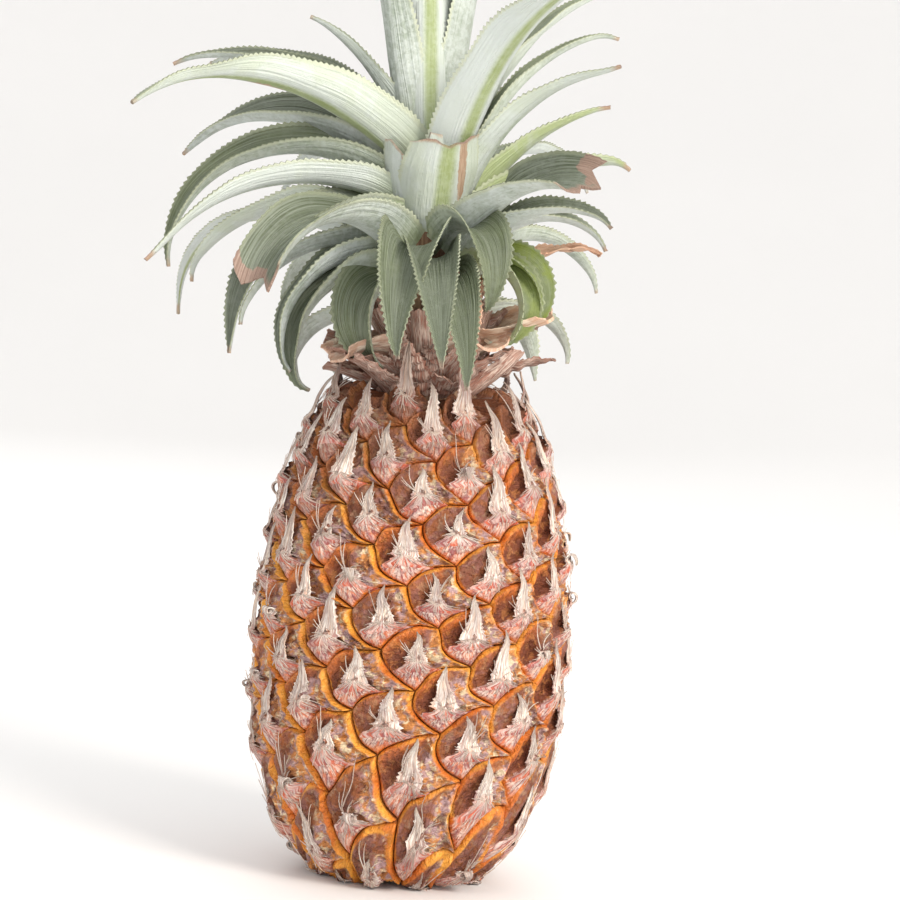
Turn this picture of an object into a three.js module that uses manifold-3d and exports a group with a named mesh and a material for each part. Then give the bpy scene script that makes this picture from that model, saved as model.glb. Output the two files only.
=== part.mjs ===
// A whole pineapple standing on its base: the fruit with its spiral of eyes and papery bracts,
// the cut stalk in its base, the short stem of the crown, and each spiny-edged crown leaf.
// Millimetres, +Z up, origin at the middle of the cut stalk's flat face.
// Azimuth 0 points along -Y and 90 along +X.
import * as THREE from "three";
import { mergeVertices } from "three/addons/utils/BufferGeometryUtils.js";
import Module from "manifold-3d";

const wasm = await Module();
wasm.setup();

// ---------------------------------------------------------------- driving dimensions

// Fruit: two quarter ellipses, at the mean level between the grooves and the humps of the eyes.
const FRUIT_RADIUS = 52.5;
const FRUIT_FOOT_RADIUS = 18.5;
const FRUIT_NECK_RADIUS = 22.5;
const FRUIT_WIDEST_Z = 76;
const FRUIT_BOTTOM_Z = 1.4;
const FRUIT_TOP_Z = 171;
const FOOT_RING_RADIUS = 14.6; // where the eyes stop under the fruit
const NECK_RING_RADIUS = 19.5; // where the eyes stop on top of it

// Eyes: a golden-angle spiral, which shows as 8 gentle rows and 13 steep ones.
const GOLDEN_TURN = THREE.MathUtils.degToRad(137.50776);
const GENTLE_ROWS = 8;
const STEEP_ROWS = 13;
const FIRST_EYE = -3; // the number of the lowest eye, and of the highest
const LAST_EYE = 146;
const EYE_AZIMUTH = THREE.MathUtils.degToRad(-4); // where eye 0 lies, before the drift
const EYE_DRIFT = THREE.MathUtils.degToRad(7.6); // how far round the eyes have drifted at this height,
const EYE_DRIFT_Z = 86;
const EYE_DRIFT_LOSS = THREE.MathUtils.degToRad(1 / 489); // and the loss for each squared millimetre off it
const GENTLE_BOW = -0.18; // how far the middles of an eye's sides are moved, as shares of its size
const STEEP_BOW = 0.19;
const SPIRAL_START = 3.04; // running numbers between the foot ring and the lowest eye's bottom corner
const EYE_RISE = 0.993; // how far up the outline each next eye climbs
const BASE_EYE_RISE = 1.146; // how much further near the base, where the eyes are tallest
const BASE_EYE_AT = 34; // distance of the tallest eyes from the foot ring
const BASE_EYE_SPREAD = 30;
const FOOT_CROWDING = 0.5; // how much closer the last eyes lie at the foot ring
const FOOT_CROWDING_RUN = 6;
const GROOVE_DEPTH = 2.6;
const BRACT_LIFT = 5.2; // how far a bract's tip stands off the mean surface
const BRACT_SWAY = THREE.MathUtils.degToRad(4); // how far aside it may lean, seen from the fruit's axis
const BRACT_REACH = 15; // length of a bract's free tip up the fruit
const NECK_BRACT_REACH = 6; // the length they have round the neck
const NECK_BRACT_EYES = 13;

// Stalk and crown stem.
const SOCKET_GAP = 0.3;
const STALK_RADIUS = 12.5;
const STALK_LENGTH = 14;
const STEM_BOTTOM_Z = 164;
const STEM_OUTLINE = [
  [17, 164],
  [17, 192],
  [15.5, 215],
  [12, 238],
  [7, 258],
  [2, 270],
];
const SCALE_COUNT = 11; // dry scales round the foot of the crown's stem
const SCALE_BOTTOM_Z = 176;
const SCALE_STEP = 1.6; // how much higher each next scale is rooted
const SCALE_BEND = 14; // degrees
const CROWN_LEAN = 4; // degrees that the crown leans toward -X, about a point at this height:
const CROWN_PIVOT_Z = 171;
const ROUND_SIDES = 28;
const STEM_SIDES = 14;
const FINEST_EDGE = 0.02; // shorter edges left by a cut are closed up

// Crown leaves.
const LEAF_GAP = 0.35; // kept between a leaf and what it is seated against
const LEAF_STATIONS = 9; // at most
const FEWEST_LEAF_STATIONS = 3;
const LEAF_STATION_LENGTH = 13; // a blade gets a station for each such length,
const LEAF_STATION_BEND = 26; // or for each such bend in degrees, if those are more
const LEAF_MIDRIB = 1.9; // thickness at the middle of the blade
const LEAF_ROOT_SINK = 2; // how deep a leaf's root sits in the stem
const LEAF_TIP_HALF = 0.4; // half the width of a leaf's tip
const LEAF_TOOTH = 1.4; // how far a tooth stands out, and where it is between two stations
const LEAF_TOOTH_AT = 0.7;
const LEAF_STEPS_PER_STATION = 4;
const ROOT_CHANNEL = 50; // degrees that each half of the blade is folded up at the root
const TIP_CHANNEL = 28;

// One row a leaf, lowest first:
// azimuth, root height, rise at the root, total bend (degrees), length, width, sideways sweep, twist, end
const POINTED = "pointed";
const TORN = "torn";
const WITHERED = "withered";
const CROWN_LEAVES = [
  [142, 189, 40, 125, 66, 22, 6, 0, POINTED],
  [112, 190, 45, 130, 52, 20, 0, 0, POINTED],
  [174, 190, 42, 128, 80, 22, -4, 0, POINTED],
  [-150, 190, 38, 125, 68, 22, 4, 0, POINTED],
  [-116, 192, 30, 120, 54, 20, 0, 0, POINTED],
  [76, 199, 55, 70, 55, 8, 0, 40, WITHERED],
  [60, 200, 81, 217, 59, 22, 3, 20, POINTED],
  [154, 204, 48, 118, 96, 22, 4, 0, POINTED],
  [94, 205, 79, 136, 67, 19, -5, 15, POINTED],
  [50, 205, 54, 250, 62, 22, 16, 0, POINTED],
  [-168, 205, 46, 118, 98, 22, -4, 0, POINTED],
  [24, 206, 41, 211, 55, 10, -35, 0, WITHERED],
  [132, 206, 52, 112, 84, 20, -4, 0, POINTED],
  [10, 207, 15, 99, 79, 25, 0, 0, POINTED],
  [-140, 208, 44, 112, 86, 21, 4, 0, POINTED],
  [-40, 209, 10, 188, 52, 30, -6, 0, POINTED],
  [68, 211, 59, 93, 65, 22, -8, 20, POINTED],
  [-74, 212, 4, 128, 66, 26, 0, -20, POINTED],
  [2, 212, 19, 97, 88, 26, 5, 0, POINTED],
  [50, 213, 61, 82, 70, 32, -3, 25, TORN],
  [-119, 215, 33, 86, 140, 14, -55, 0, POINTED],
  [-44, 216, 44, 120, 80, 30, -8, -10, TORN],
  [-6, 217, 19, 108, 81, 32, -13, 0, POINTED],
  [-75, 218, 5, 115, 67, 20, 0, 0, POINTED],
  [29, 219, 47, 189, 59, 26, -8, 0, POINTED],
  [78, 220, 56, 65, 70, 26, 0, -20, POINTED],
  [178, 220, 54, 104, 114, 22, 0, 0, POINTED],
  [-88, 222, 11, 83, 67, 18, 0, 0, POINTED],
  [15, 223, 68, 12, 38, 34, 0, 0, TORN],
  [144, 223, 58, 96, 112, 20, 4, 0, POINTED],
  [84, 225, 65, 52, 71, 18, 0, 0, POINTED],
  [-16, 226, 76, 10, 36, 30, 0, 0, TORN],
  [-150, 226, 54, 96, 118, 22, 0, 0, POINTED],
  [61, 227, 74, 75, 88, 18, -2, 0, POINTED],
  [-61, 228, 17, 113, 92, 28, -5, -25, POINTED],
  [-106, 229, 25, 81, 92, 19, -12, 10, POINTED],
  [109, 230, 81, 74, 103, 17, 17, 0, POINTED],
  [35, 233, 71, 86, 148, 27, 2, 0, POINTED],
  [-70, 236, 23, 79, 101, 22, 4, 12, POINTED],
  [166, 237, 66, 80, 126, 20, 4, 0, POINTED],
  [-93, 238, 45, 133, 110, 28, 0, -30, POINTED],
  [-134, 240, 62, 76, 128, 21, 0, 0, POINTED],
  [128, 240, 70, 60, 126, 19, 0, 0, POINTED],
  [-113, 241, 49, 86, 106, 34, -20, -25, POINTED],
  [6, 242, 89, -5, 160, 28, 0, 0, POINTED],
  [-58, 248, 41, 72, 126, 32, 25, 10, POINTED],
  [-62, 249, 80, -6, 150, 24, 0, 0, POINTED],
  [72, 249, 82, 7, 148, 20, 0, 0, POINTED],
  [-170, 250, 76, 40, 140, 18, 0, 0, POINTED],
  [-87, 252, 76, 44, 62, 17, 0, 0, POINTED],
  [-96, 253, 52, 65, 96, 22, 5, -20, POINTED],
  [150, 254, 82, 20, 136, 15, 0, 0, POINTED],
  [-34, 256, 86, 6, 138, 15, 0, 0, POINTED],
];

// The papery bracts round the neck, in the same columns.
const NECK_LEAVES = [
  [66, 181, 34, 20, 36, 28, 0, 20, TORN],
  [34, 181, 28, 40, 26, 26, 0, 0, TORN],
  [-52, 181, 28, 60, 26, 24, 0, 0, TORN],
  [-168, 181, 32, 50, 28, 26, 0, 0, TORN],
];

const SKIN_COLOUR = "#b8662f";
const STALK_COLOUR = "#a58a5c";
const STEM_COLOUR = "#94805c";
const LEAF_COLOUR = "#7e8f78";
const DRY_LEAF_COLOUR = "#b98a6c";

// ---------------------------------------------------------------- small helpers

const lerp = THREE.MathUtils.lerp;
const rad = THREE.MathUtils.degToRad;

// A steady pseudo-random number from 0 to 1 for item k.
function chance(k, salt) {
  const x = Math.sin(k * 127.1 + salt * 311.7) * 43758.5453;
  return x - Math.floor(x);
}

// A closed geometry as a manifold-3d solid.
function solidOf(geometry) {
  const bare = new THREE.BufferGeometry();
  const loose = geometry.index ? geometry.toNonIndexed() : geometry;
  bare.setAttribute("position", loose.getAttribute("position"));
  const merged = mergeVertices(bare, 1e-3);
  return new wasm.Manifold(
    new wasm.Mesh({
      numProp: 3,
      vertProperties: merged.attributes.position.array,
      triVerts: new Uint32Array(merged.index.array),
    }),
  );
}

// The largest body of a manifold-3d solid, as a geometry.
function geometryOf(solid) {
  const bodies = solid.simplify(FINEST_EDGE).decompose();
  const main = bodies.reduce((a, b) => (b.volume() > a.volume() ? b : a));
  const mesh = main.getMesh();
  const positions = new Float32Array(mesh.numVert * 3);
  for (let i = 0; i < mesh.numVert; i++) {
    positions.set(mesh.vertProperties.subarray(i * mesh.numProp, i * mesh.numProp + 3), i * 3);
  }
  const geometry = new THREE.BufferGeometry();
  geometry.setAttribute("position", new THREE.BufferAttribute(positions, 3));
  geometry.setIndex(new THREE.BufferAttribute(mesh.triVerts, 1));
  return geometry;
}

// A geometry from a list of triangles, each three points.
function geometryOfTriangles(triangles) {
  const positions = new Float32Array(triangles.flatMap((t) => t.flatMap((p) => [p.x, p.y, p.z])));
  const geometry = new THREE.BufferGeometry();
  geometry.setAttribute("position", new THREE.BufferAttribute(positions, 3));
  return geometry;
}

// An upright cylinder between two heights.
function uprightCylinder(radius, bottom, top) {
  const geometry = new THREE.CylinderGeometry(radius, radius, top - bottom, ROUND_SIDES);
  return geometry.rotateX(Math.PI / 2).translate(0, 0, (bottom + top) / 2);
}

function namedMesh(name, geometry, colour, roughness) {
  const material = new THREE.MeshStandardMaterial({ color: colour, roughness, metalness: 0 });
  const mesh = new THREE.Mesh(geometry, material);
  mesh.name = name;
  return mesh;
}

// A geometry of the upright crown, leaned as the crown leans.
function leaned(geometry) {
  geometry.translate(0, 0, -CROWN_PIVOT_Z);
  geometry.rotateY(-rad(CROWN_LEAN));
  return geometry.translate(0, 0, CROWN_PIVOT_Z);
}

// ---------------------------------------------------------------- fruit

// The fruit's outline at path angle psi, -90 degrees at the foot and 90 at the neck.
function outlineAt(psi) {
  const upper = psi > 0;
  const end = upper ? FRUIT_NECK_RADIUS : FRUIT_FOOT_RADIUS;
  const tall = upper ? FRUIT_TOP_Z - FRUIT_WIDEST_Z : FRUIT_WIDEST_Z - FRUIT_BOTTOM_Z;
  return {
    r: end + (FRUIT_RADIUS - end) * Math.cos(psi),
    z: FRUIT_WIDEST_Z + tall * Math.sin(psi),
  };
}

const HALF_CELL = (GENTLE_ROWS + STEEP_ROWS) / 2;

// How far each next eye climbs, at a distance along the outline from the foot ring.
function riseAt(run) {
  const crowded = 1 - FOOT_CROWDING * Math.exp(-run / FOOT_CROWDING_RUN);
  return EYE_RISE * crowded + BASE_EYE_RISE * Math.exp(-(((run - BASE_EYE_AT) / BASE_EYE_SPREAD) ** 2));
}

// The outline as points at equal small steps, with the flat rings under and on top of the fruit, and the
// spiral's running number at each point.
function makeOutline() {
  const points = [{ r: FOOT_RING_RADIUS, z: FRUIT_BOTTOM_Z }];
  const steps = 600;
  for (let i = 0; i <= steps; i++) points.push(outlineAt((i / steps - 0.5) * Math.PI));
  points.push({ r: NECK_RING_RADIUS, z: FRUIT_TOP_Z });
  let turn = -SPIRAL_START - HALF_CELL;
  let run = 0;
  points.forEach((p, i) => {
    const step = i ? Math.hypot(p.r - points[i - 1].r, p.z - points[i - 1].z) : 0;
    run += step;
    p.rise = riseAt(run);
    turn += step / p.rise;
    p.turn = turn;
  });
  return points;
}

const OUTLINE = makeOutline();

// The stretch of the outline that holds a running number, and how far along the stretch it lies.
function stretchAt(turn) {
  const past = OUTLINE.findIndex((p) => p.turn >= turn);
  const i = past < 0 ? OUTLINE.length - 1 : Math.max(1, past);
  const a = OUTLINE[i - 1];
  const b = OUTLINE[i];
  return { a, b, t: (turn - a.turn) / (b.turn - a.turn) };
}

// A point over the fruit's mean surface: running number, angle, and height off the surface.
function onFruit(turn, angle, height) {
  const { a, b, t } = stretchAt(turn);
  const run = Math.hypot(b.r - a.r, b.z - a.z);
  const outR = (b.z - a.z) / run;
  const outZ = -(b.r - a.r) / run;
  const r = lerp(a.r, b.r, t) + outR * height;
  const z = lerp(a.z, b.z, t) + outZ * height;
  return new THREE.Vector3(r * Math.sin(angle), -r * Math.cos(angle), z);
}

function wrapAngle(angle) {
  return angle - 2 * Math.PI * Math.round(angle / (2 * Math.PI));
}

const GENTLE_TURN = wrapAngle(GENTLE_ROWS * GOLDEN_TURN);
const STEEP_TURN = wrapAngle(STEEP_ROWS * GOLDEN_TURN);

// The running number and angle of a place on eye k, whose sides are bowed. u runs from its left corner (-1)
// to its right one (1), v from its bottom to its top.
function spotOnEye(k, u, v) {
  const straightGentle = (u + v) / 2;
  const straightSteep = (v - u) / 2;
  const gentle = straightGentle + GENTLE_BOW * Math.cos(Math.PI * straightSteep);
  const steep = straightSteep + STEEP_BOW * Math.cos(Math.PI * straightGentle);
  const turn = k + GENTLE_ROWS * gentle + STEEP_ROWS * steep;
  const { a, b, t } = stretchAt(turn);
  const drift = EYE_DRIFT - EYE_DRIFT_LOSS * (lerp(a.z, b.z, t) - EYE_DRIFT_Z) ** 2;
  const around = GENTLE_TURN * gentle + STEEP_TURN * steep;
  return { turn, angle: EYE_AZIMUTH + k * GOLDEN_TURN + around + drift };
}

// A point over eye k.
function onEye(k, u, v, height) {
  const { turn, angle } = spotOnEye(k, u, v);
  return onFruit(turn, angle, height);
}

// The corners of an eye's diamond and the middles of its sides, from its bottom round by its right.
const EYE_RIM = [
  [0, -1],
  [0.5, -0.5],
  [1, 0],
  [0.5, 0.5],
  [0, 1],
  [-0.5, 0.5],
  [-1, 0],
  [-0.5, -0.5],
];

// The triangles of eye k: a diamond hump with a shield below, a hollow face above and a bract's free tip.
function eyeTriangles(k, gap) {
  const at = (u, v, height) => onEye(k, u, v, height + gap);
  const swell = 0.8 + 0.4 * chance(k, 1);
  const rim = EYE_RIM.map(([u, v]) => at(u, v, -GROOVE_DEPTH));
  const ring = [
    at(0, -0.8, -0.5),
    at(0.43, -0.41, 0.8),
    at(0.82, -0.03, 1.4),
    at(0.46, 0.4, 2.1 * swell),
    at(-0.02, 0.8, 1.8),
    at(-0.46, 0.4, 2.1 * swell),
    at(-0.82, -0.03, 1.4),
    at(-0.43, -0.41, 0.8),
  ];
  const nearNeck = Math.max(0, 1 - (LAST_EYE - k) / NECK_BRACT_EYES);
  const length = lerp(BRACT_REACH, NECK_BRACT_REACH, nearNeck) * (0.85 + 0.35 * chance(k, 2));
  const foot = spotOnEye(k, 0.06, -0.05);
  const tipTurn = foot.turn + length / stretchAt(k).b.rise;
  const tipAngle = foot.angle + BRACT_SWAY * (chance(k, 3) - 0.5);
  const tip = onFruit(tipTurn, tipAngle, gap + BRACT_LIFT * (0.8 + 0.4 * chance(k, 4)));
  // round the neck the tips stand straight up instead of following the fruit inward
  tip.lerp(at(0, 0.1, 4).add(new THREE.Vector3(0, 0, length)), nearNeck);
  const root = at(0.1, -0.34, 2.8 * swell);
  const ridge = at(0, 0.14, 4.4);
  const left = at(-0.33, 0.06, 3);
  const right = at(0.3, 0.06, 3);
  const behind = at(-0.02, 0.1, 0.9);
  const pit = at(-0.05, 0.46, 0.7);
  const triangles = [];
  for (let i = 0; i < 8; i++) {
    const j = (i + 1) % 8;
    triangles.push([rim[i], rim[j], ring[j]], [rim[i], ring[j], ring[i]]);
  }
  const [bottom, lowRight, rightCorner, highRight, top, highLeft, leftCorner, lowLeft] = ring;
  triangles.push([bottom, lowRight, root], [lowRight, rightCorner, root]);
  triangles.push([lowLeft, bottom, root], [leftCorner, lowLeft, root]);
  triangles.push([root, ridge, left], [root, right, ridge]);
  triangles.push([root, rightCorner, right], [leftCorner, root, left]);
  triangles.push([ridge, tip, left], [ridge, right, tip]);
  triangles.push([left, tip, behind], [tip, right, behind]);
  triangles.push([leftCorner, left, behind], [right, rightCorner, behind]);
  const face = [leftCorner, behind, rightCorner, highRight, top, highLeft];
  for (let i = 0; i < 6; i++) triangles.push([face[i], face[(i + 1) % 6], pit]);
  return triangles;
}

// The two open ends of the spiral, each closed by a fan from a point on the axis.
function capTriangles(gap) {
  const triangles = [];
  const fans = [
    { ends: 0, z: FRUIT_BOTTOM_Z + GROOVE_DEPTH },
    { ends: 1, z: FRUIT_TOP_Z - GROOVE_DEPTH },
  ];
  for (const { ends, z } of fans) {
    const apex = new THREE.Vector3(0, 0, z);
    for (let n = 0; n < STEEP_ROWS; n++) {
      const k = ends ? LAST_EYE - n : FIRST_EYE + n;
      // the side of this eye that faces across the gentle rows, and across the steep ones
      const sides = ends ? [[[0, 1], [-0.5, 0.5], [-1, 0]]] : [[[0, -1], [0.5, -0.5], [1, 0]]];
      if (n < GENTLE_ROWS) sides.push(ends ? [[1, 0], [0.5, 0.5], [0, 1]] : [[-1, 0], [-0.5, -0.5], [0, -1]]);
      for (const side of sides) {
        const [a, b, c] = side.map(([u, v]) => onEye(k, u, v, gap - GROOVE_DEPTH));
        triangles.push([apex, b, a], [apex, c, b]);
      }
    }
  }
  return triangles;
}

// The fruit with no holes, grown all over by the given gap.
function fruitSolid(gap) {
  const triangles = capTriangles(gap);
  for (let k = FIRST_EYE; k <= LAST_EYE; k++) triangles.push(...eyeTriangles(k, gap));
  return solidOf(geometryOfTriangles(triangles));
}

// The socket that the crown's stem stands in.
function stemHoleGeometry() {
  const [[radius]] = STEM_OUTLINE;
  return uprightCylinder(radius + SOCKET_GAP, STEM_BOTTOM_Z - SOCKET_GAP, FRUIT_TOP_Z + 20);
}

function makeFruit() {
  const ground = new THREE.BoxGeometry(200, 200, 40).translate(0, 0, -20);
  const stalkHole = uprightCylinder(STALK_RADIUS + SOCKET_GAP, -1, STALK_LENGTH + SOCKET_GAP);
  const holes = [ground, stalkHole, leaned(stemHoleGeometry())].map(solidOf);
  return geometryOf(holes.reduce((solid, hole) => solid.subtract(hole), fruitSolid(0)));
}

// ---------------------------------------------------------------- crown

function stemRadiusAt(z) {
  const i = Math.max(1, STEM_OUTLINE.findIndex((p) => p[1] >= z));
  const [r0, z0] = STEM_OUTLINE[i - 1];
  const [r1, z1] = STEM_OUTLINE[i];
  return lerp(r0, r1, THREE.MathUtils.clamp((z - z0) / (z1 - z0), 0, 1));
}

// The crown's stem, grown all over by the given gap.
function stemGeometry(gap) {
  const outline = STEM_OUTLINE.map(([r, z]) => new THREE.Vector2(r + gap, z));
  const [, topZ] = STEM_OUTLINE[STEM_OUTLINE.length - 1];
  const points = [new THREE.Vector2(0, STEM_BOTTOM_Z), ...outline, new THREE.Vector2(0, topZ + 1 + gap)];
  return new THREE.LatheGeometry(points, STEM_SIDES).rotateX(Math.PI / 2);
}

// A leaf's width at share t of its length, as a share of its full width.
function widthShare(t, end) {
  const base = 0.78 + 0.22 * Math.sin(Math.min(1, t / 0.3) * Math.PI / 2);
  const taper = end === TORN ? 1 - 0.35 * t * t : 1 - Math.pow(t, 1.7);
  return base * taper;
}

// How many stations a leaf's blade is made of.
function stationCount(length, bend) {
  const wanted = Math.round(Math.max(length / LEAF_STATION_LENGTH, Math.abs(bend) / LEAF_STATION_BEND));
  return THREE.MathUtils.clamp(wanted, FEWEST_LEAF_STATIONS, LEAF_STATIONS);
}

// A leaf's middle line: points, each with its side direction and the one that its upper side faces.
function leafLine(row) {
  const [azimuth, rootZ, rise, bend, length, , sweep, twist] = row;
  const steps = stationCount(length, bend) * LEAF_STEPS_PER_STATION;
  const start = stemRadiusAt(rootZ) - LEAF_ROOT_SINK;
  const point = new THREE.Vector3(start * Math.sin(rad(azimuth)), -start * Math.cos(rad(azimuth)), rootZ);
  const line = [];
  for (let i = 0; i <= steps; i++) {
    const t = i / steps;
    const heading = rad(azimuth + sweep * t * t);
    const climb = rad(rise - bend * Math.pow(t, 1.15));
    const flat = Math.cos(climb);
    const along = new THREE.Vector3(flat * Math.sin(heading), -flat * Math.cos(heading), Math.sin(climb));
    const side = new THREE.Vector3(Math.cos(heading), Math.sin(heading), 0);
    side.applyAxisAngle(along, rad(twist * Math.min(1, 2 * t)));
    const face = new THREE.Vector3().crossVectors(along, side).normalize();
    if (i % LEAF_STEPS_PER_STATION === 0) line.push({ t, point: point.clone(), side, face });
    point.addScaledVector(along, length / steps);
  }
  return line;
}

// A closed blade: a folded lens in section, with a forward tooth on each edge between two stations. It is
// grown all over by the given gap, so that its edges are blunt unless the gap is 0.
function leafGeometry(row, gap) {
  const [, , , , , width, , , end] = row;
  const line = leafLine(row);
  const [beforeLast, last] = line.slice(-2);
  last.point.add(last.point.clone().sub(beforeLast.point).setLength(gap));
  const stations = line.map(({ t, point, side, face }) => {
    const half = Math.max(0.5 * width * widthShare(t, end), LEAF_TIP_HALF) + gap;
    const thick = LEAF_MIDRIB * (1 - 0.55 * t) / 2 + gap;
    const fold = rad(lerp(ROOT_CHANNEL, TIP_CHANNEL, Math.min(1, 1.5 * t)));
    const edge = (sign, out, off) =>
      point
        .clone()
        .addScaledVector(side, sign * ((half + out) * Math.cos(fold) - off * Math.sin(fold)))
        .addScaledVector(face, (half + out) * Math.sin(fold) + off * Math.cos(fold));
    return {
      top: point.clone().addScaledVector(face, thick),
      under: point.clone().addScaledVector(face, -thick),
      edge,
    };
  });
  const triangles = [];
  for (let i = 0; i < stations.length - 1; i++) {
    const a = stations[i];
    const b = stations[i + 1];
    for (const sign of [-1, 1]) {
      const toothAt = (off) =>
        a.edge(sign, LEAF_TOOTH, off).lerp(b.edge(sign, LEAF_TOOTH, off), LEAF_TOOTH_AT);
      const [e0, e1, tooth] = [a.edge(sign, 0, gap), b.edge(sign, 0, gap), toothAt(gap)];
      const [low0, low1, lowTooth] = [a.edge(sign, 0, -gap), b.edge(sign, 0, -gap), toothAt(-gap)];
      const flip = (tri) => (sign < 0 ? tri : [tri[0], tri[2], tri[1]]);
      triangles.push(flip([a.top, tooth, b.top]), flip([a.top, e0, tooth]), flip([b.top, tooth, e1]));
      triangles.push(flip([a.under, b.under, lowTooth]), flip([a.under, lowTooth, low0]));
      triangles.push(flip([b.under, low1, lowTooth]));
      triangles.push(flip([tooth, e0, low0]), flip([tooth, low0, lowTooth]));
      triangles.push(flip([e1, tooth, lowTooth]), flip([e1, lowTooth, low1]));
    }
  }
  for (const [station, sign] of [[stations[0], 1], [stations[stations.length - 1], -1]]) {
    const { top, under, edge } = station;
    const [left, right] = [edge(-1, 0, gap), edge(1, 0, gap)];
    const [lowLeft, lowRight] = [edge(-1, 0, -gap), edge(1, 0, -gap)];
    const caps = [[top, under, lowRight], [top, lowRight, right]];
    caps.push([top, left, lowLeft], [top, lowLeft, under]);
    for (const tri of caps) triangles.push(sign < 0 ? tri : [tri[0], tri[2], tri[1]]);
  }
  const open = ([a, b, c]) => !a.equals(b) && !b.equals(c) && !c.equals(a);
  return geometryOfTriangles(triangles.filter(open));
}

// The crown's stem with the dry scales round its foot, grown all over by the given gap.
function stemSolid(gap) {
  let solid = solidOf(leaned(stemGeometry(gap)));
  for (let i = 0; i < SCALE_COUNT; i++) {
    const azimuth = THREE.MathUtils.radToDeg(i * GOLDEN_TURN);
    const rise = lerp(74, 58, chance(i, 5));
    const length = lerp(17, 25, chance(i, 6));
    const width = lerp(14, 18, chance(i, 7));
    const row = [azimuth, SCALE_BOTTOM_Z + i * SCALE_STEP, rise, SCALE_BEND, length, width, 0, 0, POINTED];
    solid = solid.add(solidOf(leaned(leafGeometry(row, gap))));
  }
  return solid;
}

// Leaves seated on the crown's stem, each cut clear of everything made before it.
function makeLeaves(rows, taken) {
  return rows.map((row) => {
    let solid = solidOf(leaned(leafGeometry(row, 0)));
    for (const other of taken) {
      if (!solid.intersect(other).isEmpty()) solid = solid.subtract(other);
    }
    taken.push(solidOf(leaned(leafGeometry(row, LEAF_GAP))));
    return geometryOf(solid);
  });
}

// ---------------------------------------------------------------- the whole pineapple

const pineapple = new THREE.Group();
pineapple.add(namedMesh("fruit", makeFruit(), SKIN_COLOUR, 0.6));
pineapple.add(namedMesh("cut_stalk", uprightCylinder(STALK_RADIUS, 0, STALK_LENGTH), STALK_COLOUR, 0.9));
const crownStem = stemSolid(0).subtract(fruitSolid(LEAF_GAP).subtract(solidOf(leaned(stemHoleGeometry()))));
pineapple.add(namedMesh("crown_stem", geometryOf(crownStem), STEM_COLOUR, 0.8));

const taken = [fruitSolid(LEAF_GAP), stemSolid(SOCKET_GAP)];
makeLeaves(NECK_LEAVES, taken).forEach((geometry, i) => {
  pineapple.add(namedMesh(`neck_leaf_${i + 1}`, geometry, DRY_LEAF_COLOUR, 0.75));
});
makeLeaves(CROWN_LEAVES, taken).forEach((geometry, i) => {
  const name = `crown_leaf_${String(i + 1).padStart(2, "0")}`;
  const withered = CROWN_LEAVES[i].at(-1) === WITHERED;
  pineapple.add(namedMesh(name, geometry, withered ? DRY_LEAF_COLOUR : LEAF_COLOUR, 0.65));
});

export default pineapple;
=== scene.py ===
"""Dresses a packed pineapple: its rind, bracts, crown leaves, dry scales and cut stalk, in a plain studio."""

import logging
import math
from collections.abc import Callable
from dataclasses import dataclass, field
from enum import Enum

import bpy
import numpy as np
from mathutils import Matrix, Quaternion, Vector


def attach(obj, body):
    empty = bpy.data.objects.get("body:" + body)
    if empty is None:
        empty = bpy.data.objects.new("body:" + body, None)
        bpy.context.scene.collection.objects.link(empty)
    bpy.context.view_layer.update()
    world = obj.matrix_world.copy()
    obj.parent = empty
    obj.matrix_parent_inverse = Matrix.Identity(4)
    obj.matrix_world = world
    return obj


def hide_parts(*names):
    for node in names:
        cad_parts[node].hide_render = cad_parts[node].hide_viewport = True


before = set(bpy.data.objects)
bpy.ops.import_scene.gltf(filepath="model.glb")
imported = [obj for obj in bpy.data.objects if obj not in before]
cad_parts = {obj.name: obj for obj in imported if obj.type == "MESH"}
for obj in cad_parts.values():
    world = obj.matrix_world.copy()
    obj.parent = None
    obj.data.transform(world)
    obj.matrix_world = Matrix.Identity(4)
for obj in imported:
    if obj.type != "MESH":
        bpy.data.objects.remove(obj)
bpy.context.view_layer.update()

MM = 0.001
BODY = "root"
GOLDEN_TURN = math.radians(137.50776)

Array = np.ndarray
Piece = bpy.types.Object
Material = bpy.types.Material
NodeTree = bpy.types.NodeTree

log = logging.getLogger("pineapple")


# ---------------------------------------------------------------- small helpers


def smooth(low: float, high: float, value: Array) -> Array:
    """Eases from 0 where the value is low to 1 where it is high."""
    t = np.clip((value - low) / (high - low), 0, 1)
    return t * t * (3 - 2 * t)


def chance(item: float, salt: float) -> float:
    """A steady pseudo-random number from 0 to 1 for an item, with a salt of its own for each use."""
    x = math.sin(item * 127.1 + salt * 311.7) * 43758.5453
    return x - math.floor(x)


def wobble(points: Array, wavelength: float, seed: int) -> Array:
    """Sums slanting waves into a smooth uneven swell.

    Args:
        points: An array of points, one a row, in any number of dimensions.
        wavelength: The mean length of the waves, in the unit of the points.
        seed: Sets the directions and phases of the waves.

    Returns:
        One number a point, mostly between -1 and 1.
    """
    random = np.random.default_rng(seed)
    total = np.zeros(points.shape[:-1])
    waves = 7
    for _ in range(waves):
        way = random.normal(size=points.shape[-1])
        way *= random.uniform(0.7, 1.5) / np.linalg.norm(way)
        total += np.sin(points @ way * (2 * math.pi / wavelength) + random.uniform(0, 2 * math.pi))
    return total / math.sqrt(waves)


def unit(vectors: Array) -> Array:
    """The vectors, one a row, at length 1."""
    return vectors / np.maximum(np.linalg.norm(vectors, axis=-1, keepdims=True), 1e-12)


def deselect() -> None:
    """Leaves nothing selected."""
    bpy.ops.object.select_all(action="DESELECT")


def activate(piece: Piece) -> None:
    """Selects one object alone and makes it the active one."""
    deselect()
    piece.select_set(True)
    bpy.context.view_layer.objects.active = piece


def named(piece: Piece, name: str) -> Piece:
    """The object, with its name and its mesh's set."""
    piece.name = piece.data.name = name
    return piece


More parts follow.
